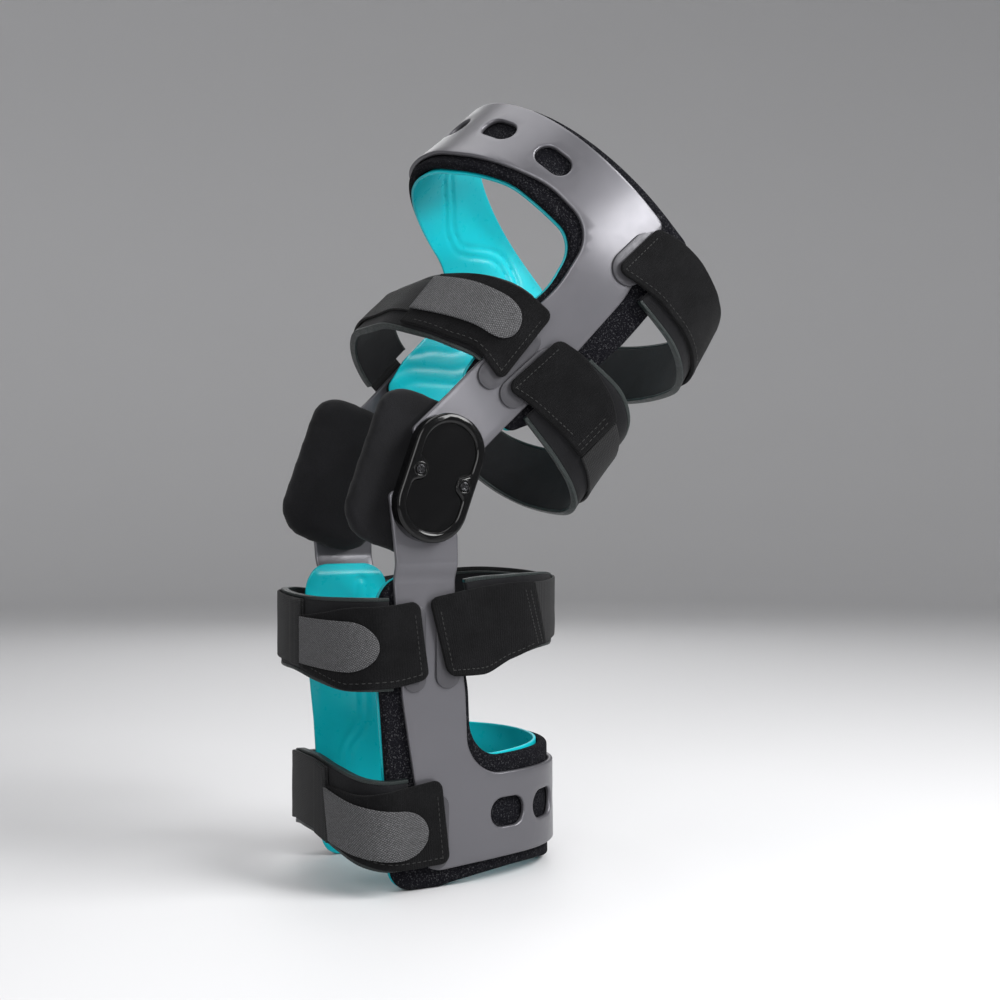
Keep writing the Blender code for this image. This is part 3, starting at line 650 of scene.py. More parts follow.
# Hook tab: its tip (u), rows (u, low, high) from the tip to the fold, where the fold cuts its
# low and its high edge, and whether it comes out from under a raised keeper
HOOK_TABS = {
    "thigh_front_strap": (11.0, [(26, -11.5, 13), (51, -18, 13.5), (68, -19, 14)],
                          64.0, 67.0, False),
    "calf_upper_front_strap": (24.5, [(40, -13.2, 13.2), (72, -14, 13.5)], 71.0, 71.0, True),
    "calf_lower_front_strap": (11.5, [(28, -15, 11), (42, -14.5, 12.3), (74, -16, 13.5)],
                               67.5, 72.5, True),
}

# Plastic tongues under the strap ends: shell, middle s, middle height, width, length
STRAP_TABS = {
    "thigh_front_strap_tab": ("thigh", 12.0, 62.0, 15.0, 42.0),
    "thigh_lower_back_strap_tab": ("thigh", -4.0, 64.0, 16.0, 40.0),
    "thigh_upper_back_strap_tab": ("thigh", 5.0, 152.0, 20.0, 34.0),
    "calf_upper_front_strap_tab": ("calf", -10.5, 129.0, 13.0, 46.0),
    "calf_upper_back_strap_tab": ("calf", 9.0, 129.0, 14.0, 44.0),
    "calf_lower_front_strap_tab": ("calf", 2.5, 31.0, 14.0, 40.0),
}


def loop_turned(loop, way):
    """The loop run counter-clockwise (1) or clockwise (-1)."""
    points = np.array(loop, dtype=float)
    x, y = points.T
    area = np.sum(x * np.roll(y, -1) - np.roll(x, -1) * y) / 2
    return points if area * way > 0 else points[::-1]


def loop_inset(points, inset):
    """Every point of a loop moved into the material by the inset, along its mitre."""
    ahead = np.roll(points, -1, axis=0) - points
    ahead /= np.linalg.norm(ahead, axis=1)[:, None]
    normals = np.column_stack([-ahead[:, 1], ahead[:, 0]])
    before = np.roll(normals, 1, axis=0)
    share = 1 + np.sum(normals * before, axis=1)
    return points + inset * (normals + before) / np.maximum(share, 0.5)[:, None]


def rounded_edge(thickness, radius, steps=3):
    """The edge profile of a sheet as (inset, height) from its lower face to its upper face."""
    lower = []
    for k in range(steps + 1):
        turn = math.pi / 2 * k / steps
        lower.append((radius * (1 - math.sin(turn)), radius * (1 - math.cos(turn))))
    return lower + [(inset, thickness - height) for inset, height in reversed(lower)]


def select_only(piece):
    bpy.ops.object.select_all(action="DESELECT")
    piece.select_set(True)
    bpy.context.view_layer.objects.active = piece


def cut_flat(name, outline, profile, holes=(), scores=((), ())):
    """A closed flat piece: its outline as circles reshaped, extruded ring by ring and filled."""
    loops = [loop_turned(outline, 1)] + [loop_turned(hole, -1) for hole in holes]
    bpy.ops.object.select_all(action="DESELECT")
    for number, loop in enumerate(loops):
        bpy.ops.mesh.primitive_circle_add(vertices=len(loop), radius=1.0, location=(0, 0, 0),
                                          enter_editmode=number == 0)
    piece = bpy.context.object
    piece.name = piece.data.name = name
    mesh = piece.data
    bm = bmesh.from_edit_mesh(mesh)
    bm.verts.layers.int.new("corner")
    corner = bm.verts.layers.int["corner"]
    for number, vert in enumerate(bm.verts):
        vert[corner] = number
    bpy.ops.mesh.select_all(action="SELECT")
    for step, (inset, height) in enumerate(profile):
        if step:
            bpy.ops.mesh.extrude_region_move()
        ring = np.vstack([loop_inset(loop, inset) for loop in loops])
        bm = bmesh.from_edit_mesh(mesh)
        corner = bm.verts.layers.int["corner"]
        for vert in bm.verts:
            if vert.select:
                vert.co = (*ring[vert[corner]], height)
        bmesh.update_edit_mesh(mesh)
    bpy.ops.mesh.fill(use_beauty=True)
    bpy.ops.mesh.select_all(action="DESELECT")
    bm = bmesh.from_edit_mesh(mesh)
    for edge in bm.edges:
        edge.select = len(edge.link_faces) == 1
    bm.select_flush(True)
    bpy.ops.mesh.fill(use_beauty=True)
    bm = bmesh.from_edit_mesh(mesh)
    for face in bm.faces:
        face.select = abs(face.normal.z) > 0.999 and face.calc_area() > 1e-9
    bpy.ops.mesh.dissolve_limited(angle_limit=0.01)
    for axis, lines in enumerate(scores):
        for line in lines:
            place, normal = [0.0, 0.0, 0.0], [0.0, 0.0, 0.0]
            place[axis], normal[axis] = float(line), 1.0
            bpy.ops.mesh.select_all(action="SELECT")
            bpy.ops.mesh.bisect(plane_co=place, plane_no=normal, threshold=0.01)
    bpy.ops.object.mode_set(mode="OBJECT")
    return piece


def join_all(pieces, name):
    select_only(pieces[0])
    for piece in pieces:
        piece.select_set(True)
    bpy.ops.object.join()
    joined = bpy.context.object
    joined.name = joined.data.name = name
    return joined


def write_flat_map(piece):
    """Keep the flat pattern as the piece's own UV map, one unit to 100 mm."""
    layer = piece.data.uv_layers.new(name="flat")
    flat = np.empty(len(piece.data.vertices) * 3)
    piece.data.vertices.foreach_get("co", flat)
    flat = flat.reshape(-1, 3)[:, :2] / 100
    corners = np.empty(len(piece.data.loops), dtype=int)
    piece.data.loops.foreach_get("vertex_index", corners)
    layer.data.foreach_set("uv", flat[corners].ravel())


def lay_on(piece, guide, body, base=0.0, shape=None):
    """Move every point from the flat pattern to its place on the guide, in metres."""
    write_flat_map(piece)
    place = BODY_PLACES[body]
    for vert in piece.data.vertices:
        a, b, offset = vert.co
        if shape:
            offset = shape(a, b, offset)
        vert.co = (place @ guide.place(a, b, base + offset)) * MM
    select_only(piece)
    bpy.ops.object.mode_set(mode="EDIT")
    bpy.ops.mesh.select_all(action="SELECT")
    bpy.ops.mesh.normals_make_consistent(inside=False)
    bpy.ops.object.mode_set(mode="OBJECT")
    bpy.ops.object.shade_smooth_by_angle(angle=math.radians(38))
    return piece


def wander(a, b, amount, size, seed):
    """A soft unevenness of cloth, in millimetres."""
    return amount * noise.noise(Vector((a / size, b / size, seed * 7.3)))


def finish_piece(piece, body, finish, nodes=()):
    """Give a piece its material, its body and the CAD nodes it stands for."""
    piece.data.materials.clear()
    piece.data.materials.append(finish)
    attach(piece, body)
    if nodes:
        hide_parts(*nodes)
    return piece


class Shader:
    """A material being put together: short names for the nodes that the finishes use."""

    def __init__(self, name, colour, roughness, **sockets):
        self.material = bpy.data.materials.new(name)
        self.material.use_nodes = True
        self.tree = self.material.node_tree
        self.main = self.tree.nodes["Principled BSDF"]
        self.main.inputs["Base Color"].default_value = (*colour, 1.0)
        self.main.inputs["Roughness"].default_value = roughness
        for socket, value in sockets.items():
            self.main.inputs[socket.replace("_", " ")].default_value = value
        self.bumps = None

    def put(self, socket, value):
        """Link another node's output to a socket, or set the socket's own value."""
        if isinstance(value, bpy.types.NodeSocket):
            self.tree.links.new(value, socket)
        else:
            socket.default_value = value

    def node(self, kind, **inputs):
        made = self.tree.nodes.new(kind)
        for socket, value in inputs.items():
            self.put(made.inputs[socket.replace("_", " ")], value)
        return made

    def place(self, flat=False, scale=(1.0, 1.0, 1.0), turn=0.0):
        """Object coordinates in metres, or the flat pattern in units of 100 mm."""
        if flat:
            start = self.tree.nodes.new("ShaderNodeUVMap")
            start.uv_map = "flat"
            source = start.outputs["UV"]
        else:
            source = self.tree.nodes.new("ShaderNodeTexCoord").outputs["Object"]
        mapping = self.node("ShaderNodeMapping", Vector=source, Scale=scale,
                            Rotation=(0.0, 0.0, turn))
        return mapping.outputs["Vector"]

    def noise(self, where, scale, detail=3.0, roughness=0.55):
        return self.node("ShaderNodeTexNoise", Vector=where, Scale=scale, Detail=detail,
                         Roughness=roughness).outputs["Fac"]

    def cells(self, where, scale):
        return self.node("ShaderNodeTexVoronoi", Vector=where, Scale=scale).outputs["Distance"]

    def ribs(self, where, scale, distortion=0.0, direction="X", detail_scale=1.0):
        made = self.node("ShaderNodeTexWave", Vector=where, Scale=scale, Distortion=distortion,
                         Detail=2.0, Detail_Scale=detail_scale)
        made.bands_direction = direction
        return made.outputs["Fac"]

    def ramp(self, value, low, high, start=0.3, end=0.7):
        made = self.node("ShaderNodeMapRange", Value=value, From_Min=start, From_Max=end,
                         To_Min=low, To_Max=high)
        return made.outputs["Result"]

    def maths(self, operation, first, second):
        made = self.tree.nodes.new("ShaderNodeMath")
        made.operation = operation
        self.put(made.inputs[0], first)
        self.put(made.inputs[1], second)
        return made.outputs["Value"]

    def colour_between(self, value, first, second):
        made = self.tree.nodes.new("ShaderNodeMix")
        made.data_type = "RGBA"
        self.tree.links.new(value, made.inputs["Factor"])
        made.inputs[6].default_value = (*first, 1.0)
        made.inputs[7].default_value = (*second, 1.0)
        return made.outputs[2]

    def set(self, socket, value):
        self.tree.links.new(value, self.main.inputs[socket])

    def bump(self, height, distance, strength=1.0):
        made = self.node("ShaderNodeBump", Height=height, Strength=strength, Distance=distance)
        if self.bumps:
            self.tree.links.new(self.bumps, made.inputs["Normal"])
        self.bumps = made.outputs["Normal"]
        self.tree.links.new(self.bumps, self.main.inputs["Normal"])


def tint(colour, factor):
    return tuple(min(1.0, part * factor) for part in colour)


def frame_grey_look():
    """Satin coat: faint mottling, fine orange peel and uneven gloss."""
    colour = tuple(colours().frame_grey)
    coat = Shader("frame satin grey", colour, 0.37, Metallic=0.55, Coat_Weight=0.12,
                  Coat_Roughness=0.2)
    where = coat.place()
    broad, fine = coat.noise(where, 28.0), coat.noise(where, 900.0)
    coat.set("Base Color", coat.colour_between(broad, tint(colour, 0.95), tint(colour, 1.05)))
    coat.set("Roughness", coat.ramp(coat.noise(where, 160.0), 0.35, 0.4))
    coat.bump(fine, 0.000006)
    return coat.material


def foam_black_look():
    """Closed-cell foam with a fine nap: pits, and light specks where the cells are cut."""
    colour = tuple(colours().foam_black)
    foam = Shader("padding foam", colour, 0.85, Specular_IOR_Level=0.05)
    where = foam.place()
    pits = foam.cells(where, 1150.0)
    specks = foam.ramp(foam.noise(where, 1150.0, 2.0), 0.0, 1.0, 0.55, 0.75)
    foam.set("Base Color", foam.colour_between(specks, colour, colours().foam_speck))
    foam.set("Roughness", foam.ramp(pits, 0.65, 0.95, 0.1, 0.6))
    foam.bump(pits, 0.00035)
    foam.bump(foam.noise(where, 320.0), 0.0004)
    return foam.material


def liner_teal_look():
    """Glossy moulded face, with flow marks in its colour."""
    colour = tuple(colours().liner_teal)
    face = Shader("liner teal", colour, 0.2, Subsurface_Weight=0.12, Subsurface_Scale=0.004,
                  Specular_IOR_Level=0.2, Coat_Weight=0.06, Coat_Roughness=0.1)
    where = face.place()
    flow = face.ribs(where, 9.0, 14.0, "DIAGONAL", 0.6)
    cloud = face.noise(where, 16.0)
    marks = face.ramp(face.maths("MULTIPLY", flow, cloud), 0.0, 1.0, 0.05, 0.5)
    face.set("Base Color", face.colour_between(marks, tint(colour, 0.82), tint(colour, 1.12)))
    face.set("Roughness", face.ramp(face.noise(where, 220.0), 0.26, 0.36))
    face.bump(face.noise(where, 60.0), 0.0002)
    return face.material


def loop_black_look():
    """Brushed loop cloth: tangled nap, faint ribs across the strap and a soft sheen."""
    colour = tuple(colours().loop_black)
    cloth = Shader("loop cloth", colour, 0.95, Specular_IOR_Level=0.06, Sheen_Weight=0.03)
    where, flat = cloth.place(), cloth.place(flat=True)
    tangle = cloth.noise(where, 2200.0, 4.0, 0.7)
    patches = cloth.noise(where, 90.0)
    ribs = cloth.ribs(flat, 24.0, 3.0)
    shade = cloth.maths("MULTIPLY", cloth.ramp(tangle, 0.0, 1.0, 0.35, 0.75),
                        cloth.ramp(patches, 0.35, 1.0))
    cloth.set("Base Color", cloth.colour_between(shade, colour, colours().loop_nap))
    cloth.bump(tangle, 0.00025)
    cloth.bump(cloth.cells(where, 1500.0), 0.00015)
    cloth.bump(ribs, 0.00008)
    return cloth.material


def webbing_look():
    """Flat woven webbing: fine ribs across it, broken by the warp."""
    colour = tuple(colours().webbing_grey)
    woven = Shader("webbing", colour, 0.75, Specular_IOR_Level=0.2, Sheen_Weight=0.03)
    flat = woven.place(flat=True)
    weft = woven.ribs(flat, 22.0, 0.4)
    warp = woven.ribs(flat, 30.0, 0.4, "Y")
    weave = woven.maths("MULTIPLY", weft, warp)
    woven.set("Base Color", woven.colour_between(weave, tint(colour, 0.65), tint(colour, 1.25)))
    woven.bump(weave, 0.0003)
    return woven.material


def hook_grey_look():
    """Twill back of a hook tab: diagonal ribs crossed by a finer thread, with painted highlights on
    their tops and painted glints.
    """
    colour = tuple(colours().hook_grey)
    tab = Shader("hook tab twill", colour, 0.65, Specular_IOR_Level=0.3, Sheen_Weight=0.03)
    ribs_per_unit = 0.1 / sizes().weave_pitch / 3.14
    turned = tab.place(flat=True, turn=math.radians(58))
    crossed = tab.place(flat=True, turn=math.radians(-34))
    twill = tab.ribs(turned, ribs_per_unit, 2.2, detail_scale=3.0)
    thread = tab.ribs(crossed, ribs_per_unit * 1.15, 2.2, detail_scale=3.0)
    weave = tab.maths("MULTIPLY", tab.ramp(twill, 0.25, 1.0, 0.1, 0.9),
                      tab.ramp(thread, 0.25, 1.0, 0.1, 0.9))
    # painted glints: fine noise that lightens the colour in specks, standing in for sparkle off the
    # fibres
    painted_glints = tab.ramp(tab.noise(tab.place(), 1400.0, 2.0), 0.35, 1.5)
    shade = tab.maths("MULTIPLY", weave, painted_glints)
    # The colour is lighter on the rib tops and darker between them: the twill's pattern, with a
    # painted highlight and painted shade on its ribs
    tab.set("Base Color", tab.colour_between(shade, tint(colour, 0.3), tint(colour, 2.6)))
    tab.bump(weave, 0.0003)
    return tab.material


def tab_smoke_look():
    """Smoky strap tongue with a thin gloss."""
    tongue = Shader("strap tongue", tuple(colours().tab_smoke), 0.4, Metallic=0.3,
                    Specular_IOR_Level=0.3)
    tongue.set("Roughness", tongue.ramp(tongue.noise(tongue.place(), 300.0), 0.3, 0.45))
    return tongue.material


def cover_black_look():
    """Piano-gloss moulding with the faintest ripple and dust in its roughness."""
    gloss = Shader("hinge cover gloss", tuple(colours().cover_black), 0.12,
                   Specular_IOR_Level=0.15, Coat_Weight=0.3, Coat_Roughness=0.04)
    where = gloss.place()
    gloss.set("Roughness", gloss.ramp(gloss.noise(where, 400.0), 0.06, 0.12))
    gloss.bump(gloss.noise(where, 70.0), 0.00005)
    return gloss.material


def pad_black_look():
    """Soft short-napped cloth of the strap pads and condyle pads."""
    colour = tuple(colours().pad_black)
    cloth = Shader("pad cloth", colour, 0.9, Specular_IOR_Level=0.12, Sheen_Weight=0.05)
    where = cloth.place()
    nap = cloth.noise(where, 1600.0, 3.0, 0.65)
    broad = cloth.noise(where, 45.0)
    shade = cloth.maths("MULTIPLY", cloth.ramp(nap, 0.2, 1.0), cloth.ramp(broad, 0.4, 1.0))
    cloth.set("Base Color", cloth.colour_between(shade, tint(colour, 0.6), tint(colour, 2.0)))
    cloth.bump(nap, 0.00025)
    cloth.bump(broad, 0.0006)
    return cloth.material


def binding_look():
    """Dark, slightly glossy binding that edges the strap pads."""
    edge = Shader("pad binding", tuple(colours().binding_black), 0.42, Specular_IOR_Level=0.3,
                  Coat_Weight=0.1, Coat_Roughness=0.3)
    flat = edge.place(flat=True)
    edge.bump(edge.ribs(flat, 40.0, 0.3), 0.0002)
    edge.set("Roughness", edge.ramp(edge.noise(edge.place(), 350.0), 0.35, 0.55))
    return edge.material


def steel_look():
    """Turned and brushed steel."""
    colour = tuple(colours().steel)
    steel = Shader("brushed steel", colour, 0.32, Metallic=1.0)
    brushed = steel.place(scale=(60.0, 60.0, 2200.0))
    grain = steel.noise(brushed, 1.0, 2.0)
    steel.set("Roughness", steel.ramp(grain, 0.25, 0.42))
    steel.bump(grain, 0.00003)
    return steel.material


def screw_look():
    """Blackened steel with a worn, brighter grain."""
    screw = Shader("blackened steel", tuple(colours().screw_black), 0.25, Metallic=0.9)
    grain = screw.noise(screw.place(), 900.0)
    screw.set("Roughness", screw.ramp(grain, 0.16, 0.4))
    screw.bump(grain, 0.00003)
    return screw.material


def thread_look():
    sewn = Shader("sewing thread", tuple(colours().thread), 0.8, Sheen_Weight=0.1)
    sewn.bump(sewn.noise(sewn.place(), 3000.0, 2.0), 0.0001)
    return sewn.material


LOOK_MAKERS = {
    "frame": frame_grey_look, "foam": foam_black_look, "teal": liner_teal_look,
    "loop": loop_black_look, "webbing": webbing_look, "hook": hook_grey_look,
    "tab": tab_smoke_look, "cover": cover_black_look, "pad": pad_black_look,
    "binding": binding_look, "steel": steel_look, "screw": screw_look,
    "thread": thread_look,
}
LOOKS = {}


def look(name):
    """A finish, made the first time that a piece asks for it."""
    if name not in LOOKS:
        LOOKS[name] = LOOK_MAKERS[name]()
    return LOOKS[name]


def scores_for(guide, step, heights):
    """Where a wrapped shell is scored so that it can bend."""
    return (np.arange(-30.0, 2 * guide.arc + 31.0, step), heights)


def levels_between(low, high, step, extra=()):
    return sorted({*np.arange(low, high, step), *extra})


THIGH_BENDS = levels_between(-10.0, 180.0, 6.0)
CALF_BENDS = levels_between(6.0, 228.0, 6.0, np.arange(161.5, 178.0, 1.5))


def make_frames():
    """Both rigid frames, cut in the flat with rolled rims, slots and pin holes."""
    profile = rounded_edge(FRAME_SHEET, sizes().frame_edge / MM)
    step = sizes().shell_step / MM
    for body, guide, outline, slots, pivot, bends in (
            ("thigh", THIGH_SHELL, thigh_frame_outline(),
             slot_row(THIGH_SLOT, THIGH_SLOT_PITCH, THIGH_SLOT_HEIGHT, THIGH_ARC, 5),
             (0.0, 0.0), THIGH_BENDS),
            ("calf", CALF_SHELL, calf_frame_outline(),
             slot_row(CALF_SLOT, CALF_SLOT_PITCH, CALF_SLOT_HEIGHT, CALF_ARC, 6),
             calf_pivot(), CALF_BENDS)):
        holes = slots + [pivot_hole(pivot), pivot_hole((2 * guide.arc - pivot[0], pivot[1]))]
        piece = cut_flat(f"{body}_frame_shell", outline, profile, holes,
                         scores_for(guide, step, bends))
        lay_on(piece, guide, body, base=-FRAME_SHEET)
        finish_piece(piece, body, look("frame"), [f"{body}_frame"])


# Moulded waves in the liners' faces: a line of (s, h) on the outer half, which is repeated on the
# inner half, and whether it is a pair of grooves
THIGH_WAVES = [
    ([(150.0, 160.0), (114.0, 153.0), (85.0, 149.0), (66.0, 142.0), (55.0, 141.0), (46.0, 146.0),
      (38.0, 154.0), (31.0, 160.0), (22.0, 163.0), (8.0, 161.0), (-2.0, 150.0), (-6.0, 132.0)],
     True),
    ([(24.0, 40.0), (20.0, 58.0), (8.0, 73.0), (-4.0, 86.0), (-10.0, 104.0), (-8.0, 122.0)], False),
    ([(16.0, 40.0), (12.0, 54.0), (1.0, 67.0), (-11.0, 80.0), (-18.0, 98.0), (-17.0, 118.0)],
     False),
    ([(24.0, 66.0), (16.0, 80.0), (5.0, 92.0), (-1.0, 108.0), (1.0, 126.0)], False),
]
CALF_WAVES = [
    ([(1.5, 158.0), (1.5, 96.0), (2.0, 81.0), (-0.5, 71.0), (-6.0, 64.0), (-8.5, 55.0),
      (-8.5, 12.0)], True),
    ([(34.0, 14.0), (46.0, 30.0), (66.0, 38.0), (90.0, 34.0), (118.0, 44.0)], True),
]


def wave_points(line, arc):
    """A wave as close points, with its copy on the inner half."""
    knots = np.array(line)
    reach = np.concatenate([[0.0], np.cumsum(np.hypot(*np.diff(knots, axis=0).T))])
    table = np.column_stack([reach, knots])
    outer = np.array([smooth_row(table, u) for u in np.arange(0.0, reach[-1], 1.0)])
    inner = outer * (-1.0, 1.0) + (2 * arc, 0.0)
    return np.vstack([outer, inner])


def groove_field(waves, arc):
    """How deep the moulding is at (s, h): pairs of round-bottomed grooves along the waves."""
    lines = [(wave_points(line, arc), double) for line, double in waves]
    depth, width = sizes().groove_depth / MM, sizes().groove_width / MM
    spread = 3.1

    def deep(s, h):
        total = 0.0
        for points, double in lines:
            away = float(np.min(np.hypot(points[:, 0] - s, points[:, 1] - h)))
            away, share = (abs(away - spread), 1.0) if double else (away, 0.4)
            total = max(total, share * depth * math.exp(-(away / width)**2))
        return total

    return deep


def make_liner(body, guide, outline, bends, waves):
    """Foam padding with soft rims, and the moulded face that it carries towards the leg."""
    foam_base = -FRAME_SHEET - GAP - FOAM
    face_base = foam_base - GAP - LINER_FACE
    deep = groove_field(waves, guide.arc)

    def tucked(s, h, offset):
        """The calf padding's front edge on the inner side bends in under the straps."""
        past = max(0.0, s - 2 * CALF_ARC - TUCK_START) if body == "calf" else 0.0
        return offset - TUCK_BEND * past**2

    def moulded(s, h, offset):
        """The grooves are only in the side that faces the leg."""
        return tucked(s, h, offset + (deep(s, h) if offset < 0.3 else 0.0))

    foam = cut_flat(f"{body}_padding", outline(FOAM_TUCK),
                    rounded_edge(FOAM, sizes().foam_edge / MM, 4),
                    scores=scores_for(guide, sizes().shell_step / MM, bends))
    lay_on(foam, guide, body, base=foam_base, shape=tucked)
    finish_piece(foam, body, look("foam"), [f"{body}_liner_foam"])

    face = cut_flat(f"{body}_padding_face", outline(0.0), rounded_edge(LINER_FACE, 0.6, 2),
                    scores=scores_for(guide, 6.0, bends))
    finer = face.modifiers.new("finer", "SUBSURF")
    finer.subdivision_type = "SIMPLE"
    finer.levels = finer.render_levels = 2
    select_only(face)
    bpy.ops.object.modifier_apply(modifier=finer.name)
    lay_on(face, guide, body, base=face_base, shape=moulded)
    finish_piece(face, body, look("teal"), [f"{body}_liner_face"])


def make_liners():
    make_liner("thigh", THIGH_SHELL, thigh_liner_outline, THIGH_BENDS, THIGH_WAVES)
    make_liner("calf", CALF_SHELL, calf_liner_outline, CALF_BENDS, CALF_WAVES)


def make_strap_tongues():
    """The smoky tongues under the strap ends, thin and round-ended."""
    profile = rounded_edge(TAB, 0.45, 2)
    for name, (body, s, h, width, length) in STRAP_TABS.items():
        guide = {"thigh": THIGH_SHELL, "calf": CALF_SHELL}[body]
        for side, middle in (("outer", s), ("inner", 2 * guide.arc - s)):
            bends = (np.arange(middle - width, middle + width, 3.0),
                     np.arange(h - length, h + length, 6.0))
            piece = cut_flat(f"{name}_{side}_tongue", stadium(width, length, (middle, h)),
                             profile, scores=bends)
            lay_on(piece, guide, body, base=GAP)
            finish_piece(piece, body, look("tab"), [f"{name}_{side}"])


def cut_edges(rows, start, end_low, end_high, corner, end_corner=0.0):
    """A strap's outline from its edge rows, from its start to where its end cuts each edge."""
    reach = max(corner, end_corner) + 4.0
    outline = [(start, smooth_row(rows, start)[0], corner)]
    outline += [(u, smooth_row(rows, u)[0], 0.0)
                for u in np.arange(start + reach, end_low - reach, 4.0)]
    outline += [(end_low, smooth_row(rows, end_low)[0], end_corner),
                (end_high, smooth_row(rows, end_high)[1], end_corner)]
    outline += [(u, smooth_row(rows, u)[1], 0.0)
                for u in np.arange(end_high - reach, start + reach, -4.0)]
    return rounded(outline + [(start, smooth_row(rows, start)[1], corner)])


def hook_outline(tip, rows, end_low, end_high):
    """Round at its free end near the upright, and cut where it folds."""
    first, low, high = rows[0]
    middle, half = (low + high) / 2, (high - low) / 2
    nose = [(first - (first - tip) * math.cos(a), middle - half * math.sin(a))
            for a in np.radians(np.arange(-84, 90, 6))]
    edge = [(u, smooth_row(rows, u)[0]) for u in np.arange(first + 3.0, end_low - 2.0, 4.0)]
    back = [(u, smooth_row(rows, u)[1]) for u in np.arange(end_high - 3.0, first + 1.0, -4.0)]
    return (nose + edge + [(end_low, smooth_row(rows, end_low)[0]),
                           (end_high, smooth_row(rows, end_high)[1])] + back)


def stitch_rows(name, guide, body, rows, base):
    """Rows of stitches: one stitch arrayed along each row, the rows joined and laid on."""
    length, thick = sizes().stitch_length / MM, sizes().stitch_width / MM
    pitch = length * 1.35
    pieces = []
    for (start_u, start_b), (end_u, end_b) in rows:
        run = Vector((end_u - start_u, end_b - start_b))
        bpy.ops.object.select_all(action="DESELECT")
        bpy.ops.mesh.primitive_uv_sphere_add(segments=6, ring_count=4, radius=0.5,
                                             location=(0, 0, 0))
        stitch = bpy.context.object
        stitch.data.transform(Matrix.Diagonal((length, thick, thick, 1.0)))
        row = stitch.modifiers.new("row", "ARRAY")
        row.use_relative_offset, row.use_constant_offset = False, True
        row.constant_offset_displace = (pitch, 0.0, 0.0)
        row.count = max(2, int(run.length / pitch))
        bpy.ops.object.modifier_apply(modifier=row.name)
        heading = math.atan2(run.y, run.x)
        stitch.data.transform(Matrix.Translation((start_u, start_b, 0.0))
                              @ Matrix.Rotation(heading, 4, "Z"))
        pieces.append(stitch)
    joined = join_all(pieces, name)
    lay_on(joined, guide, body, base=base)
    return finish_piece(joined, body, look("thread"))


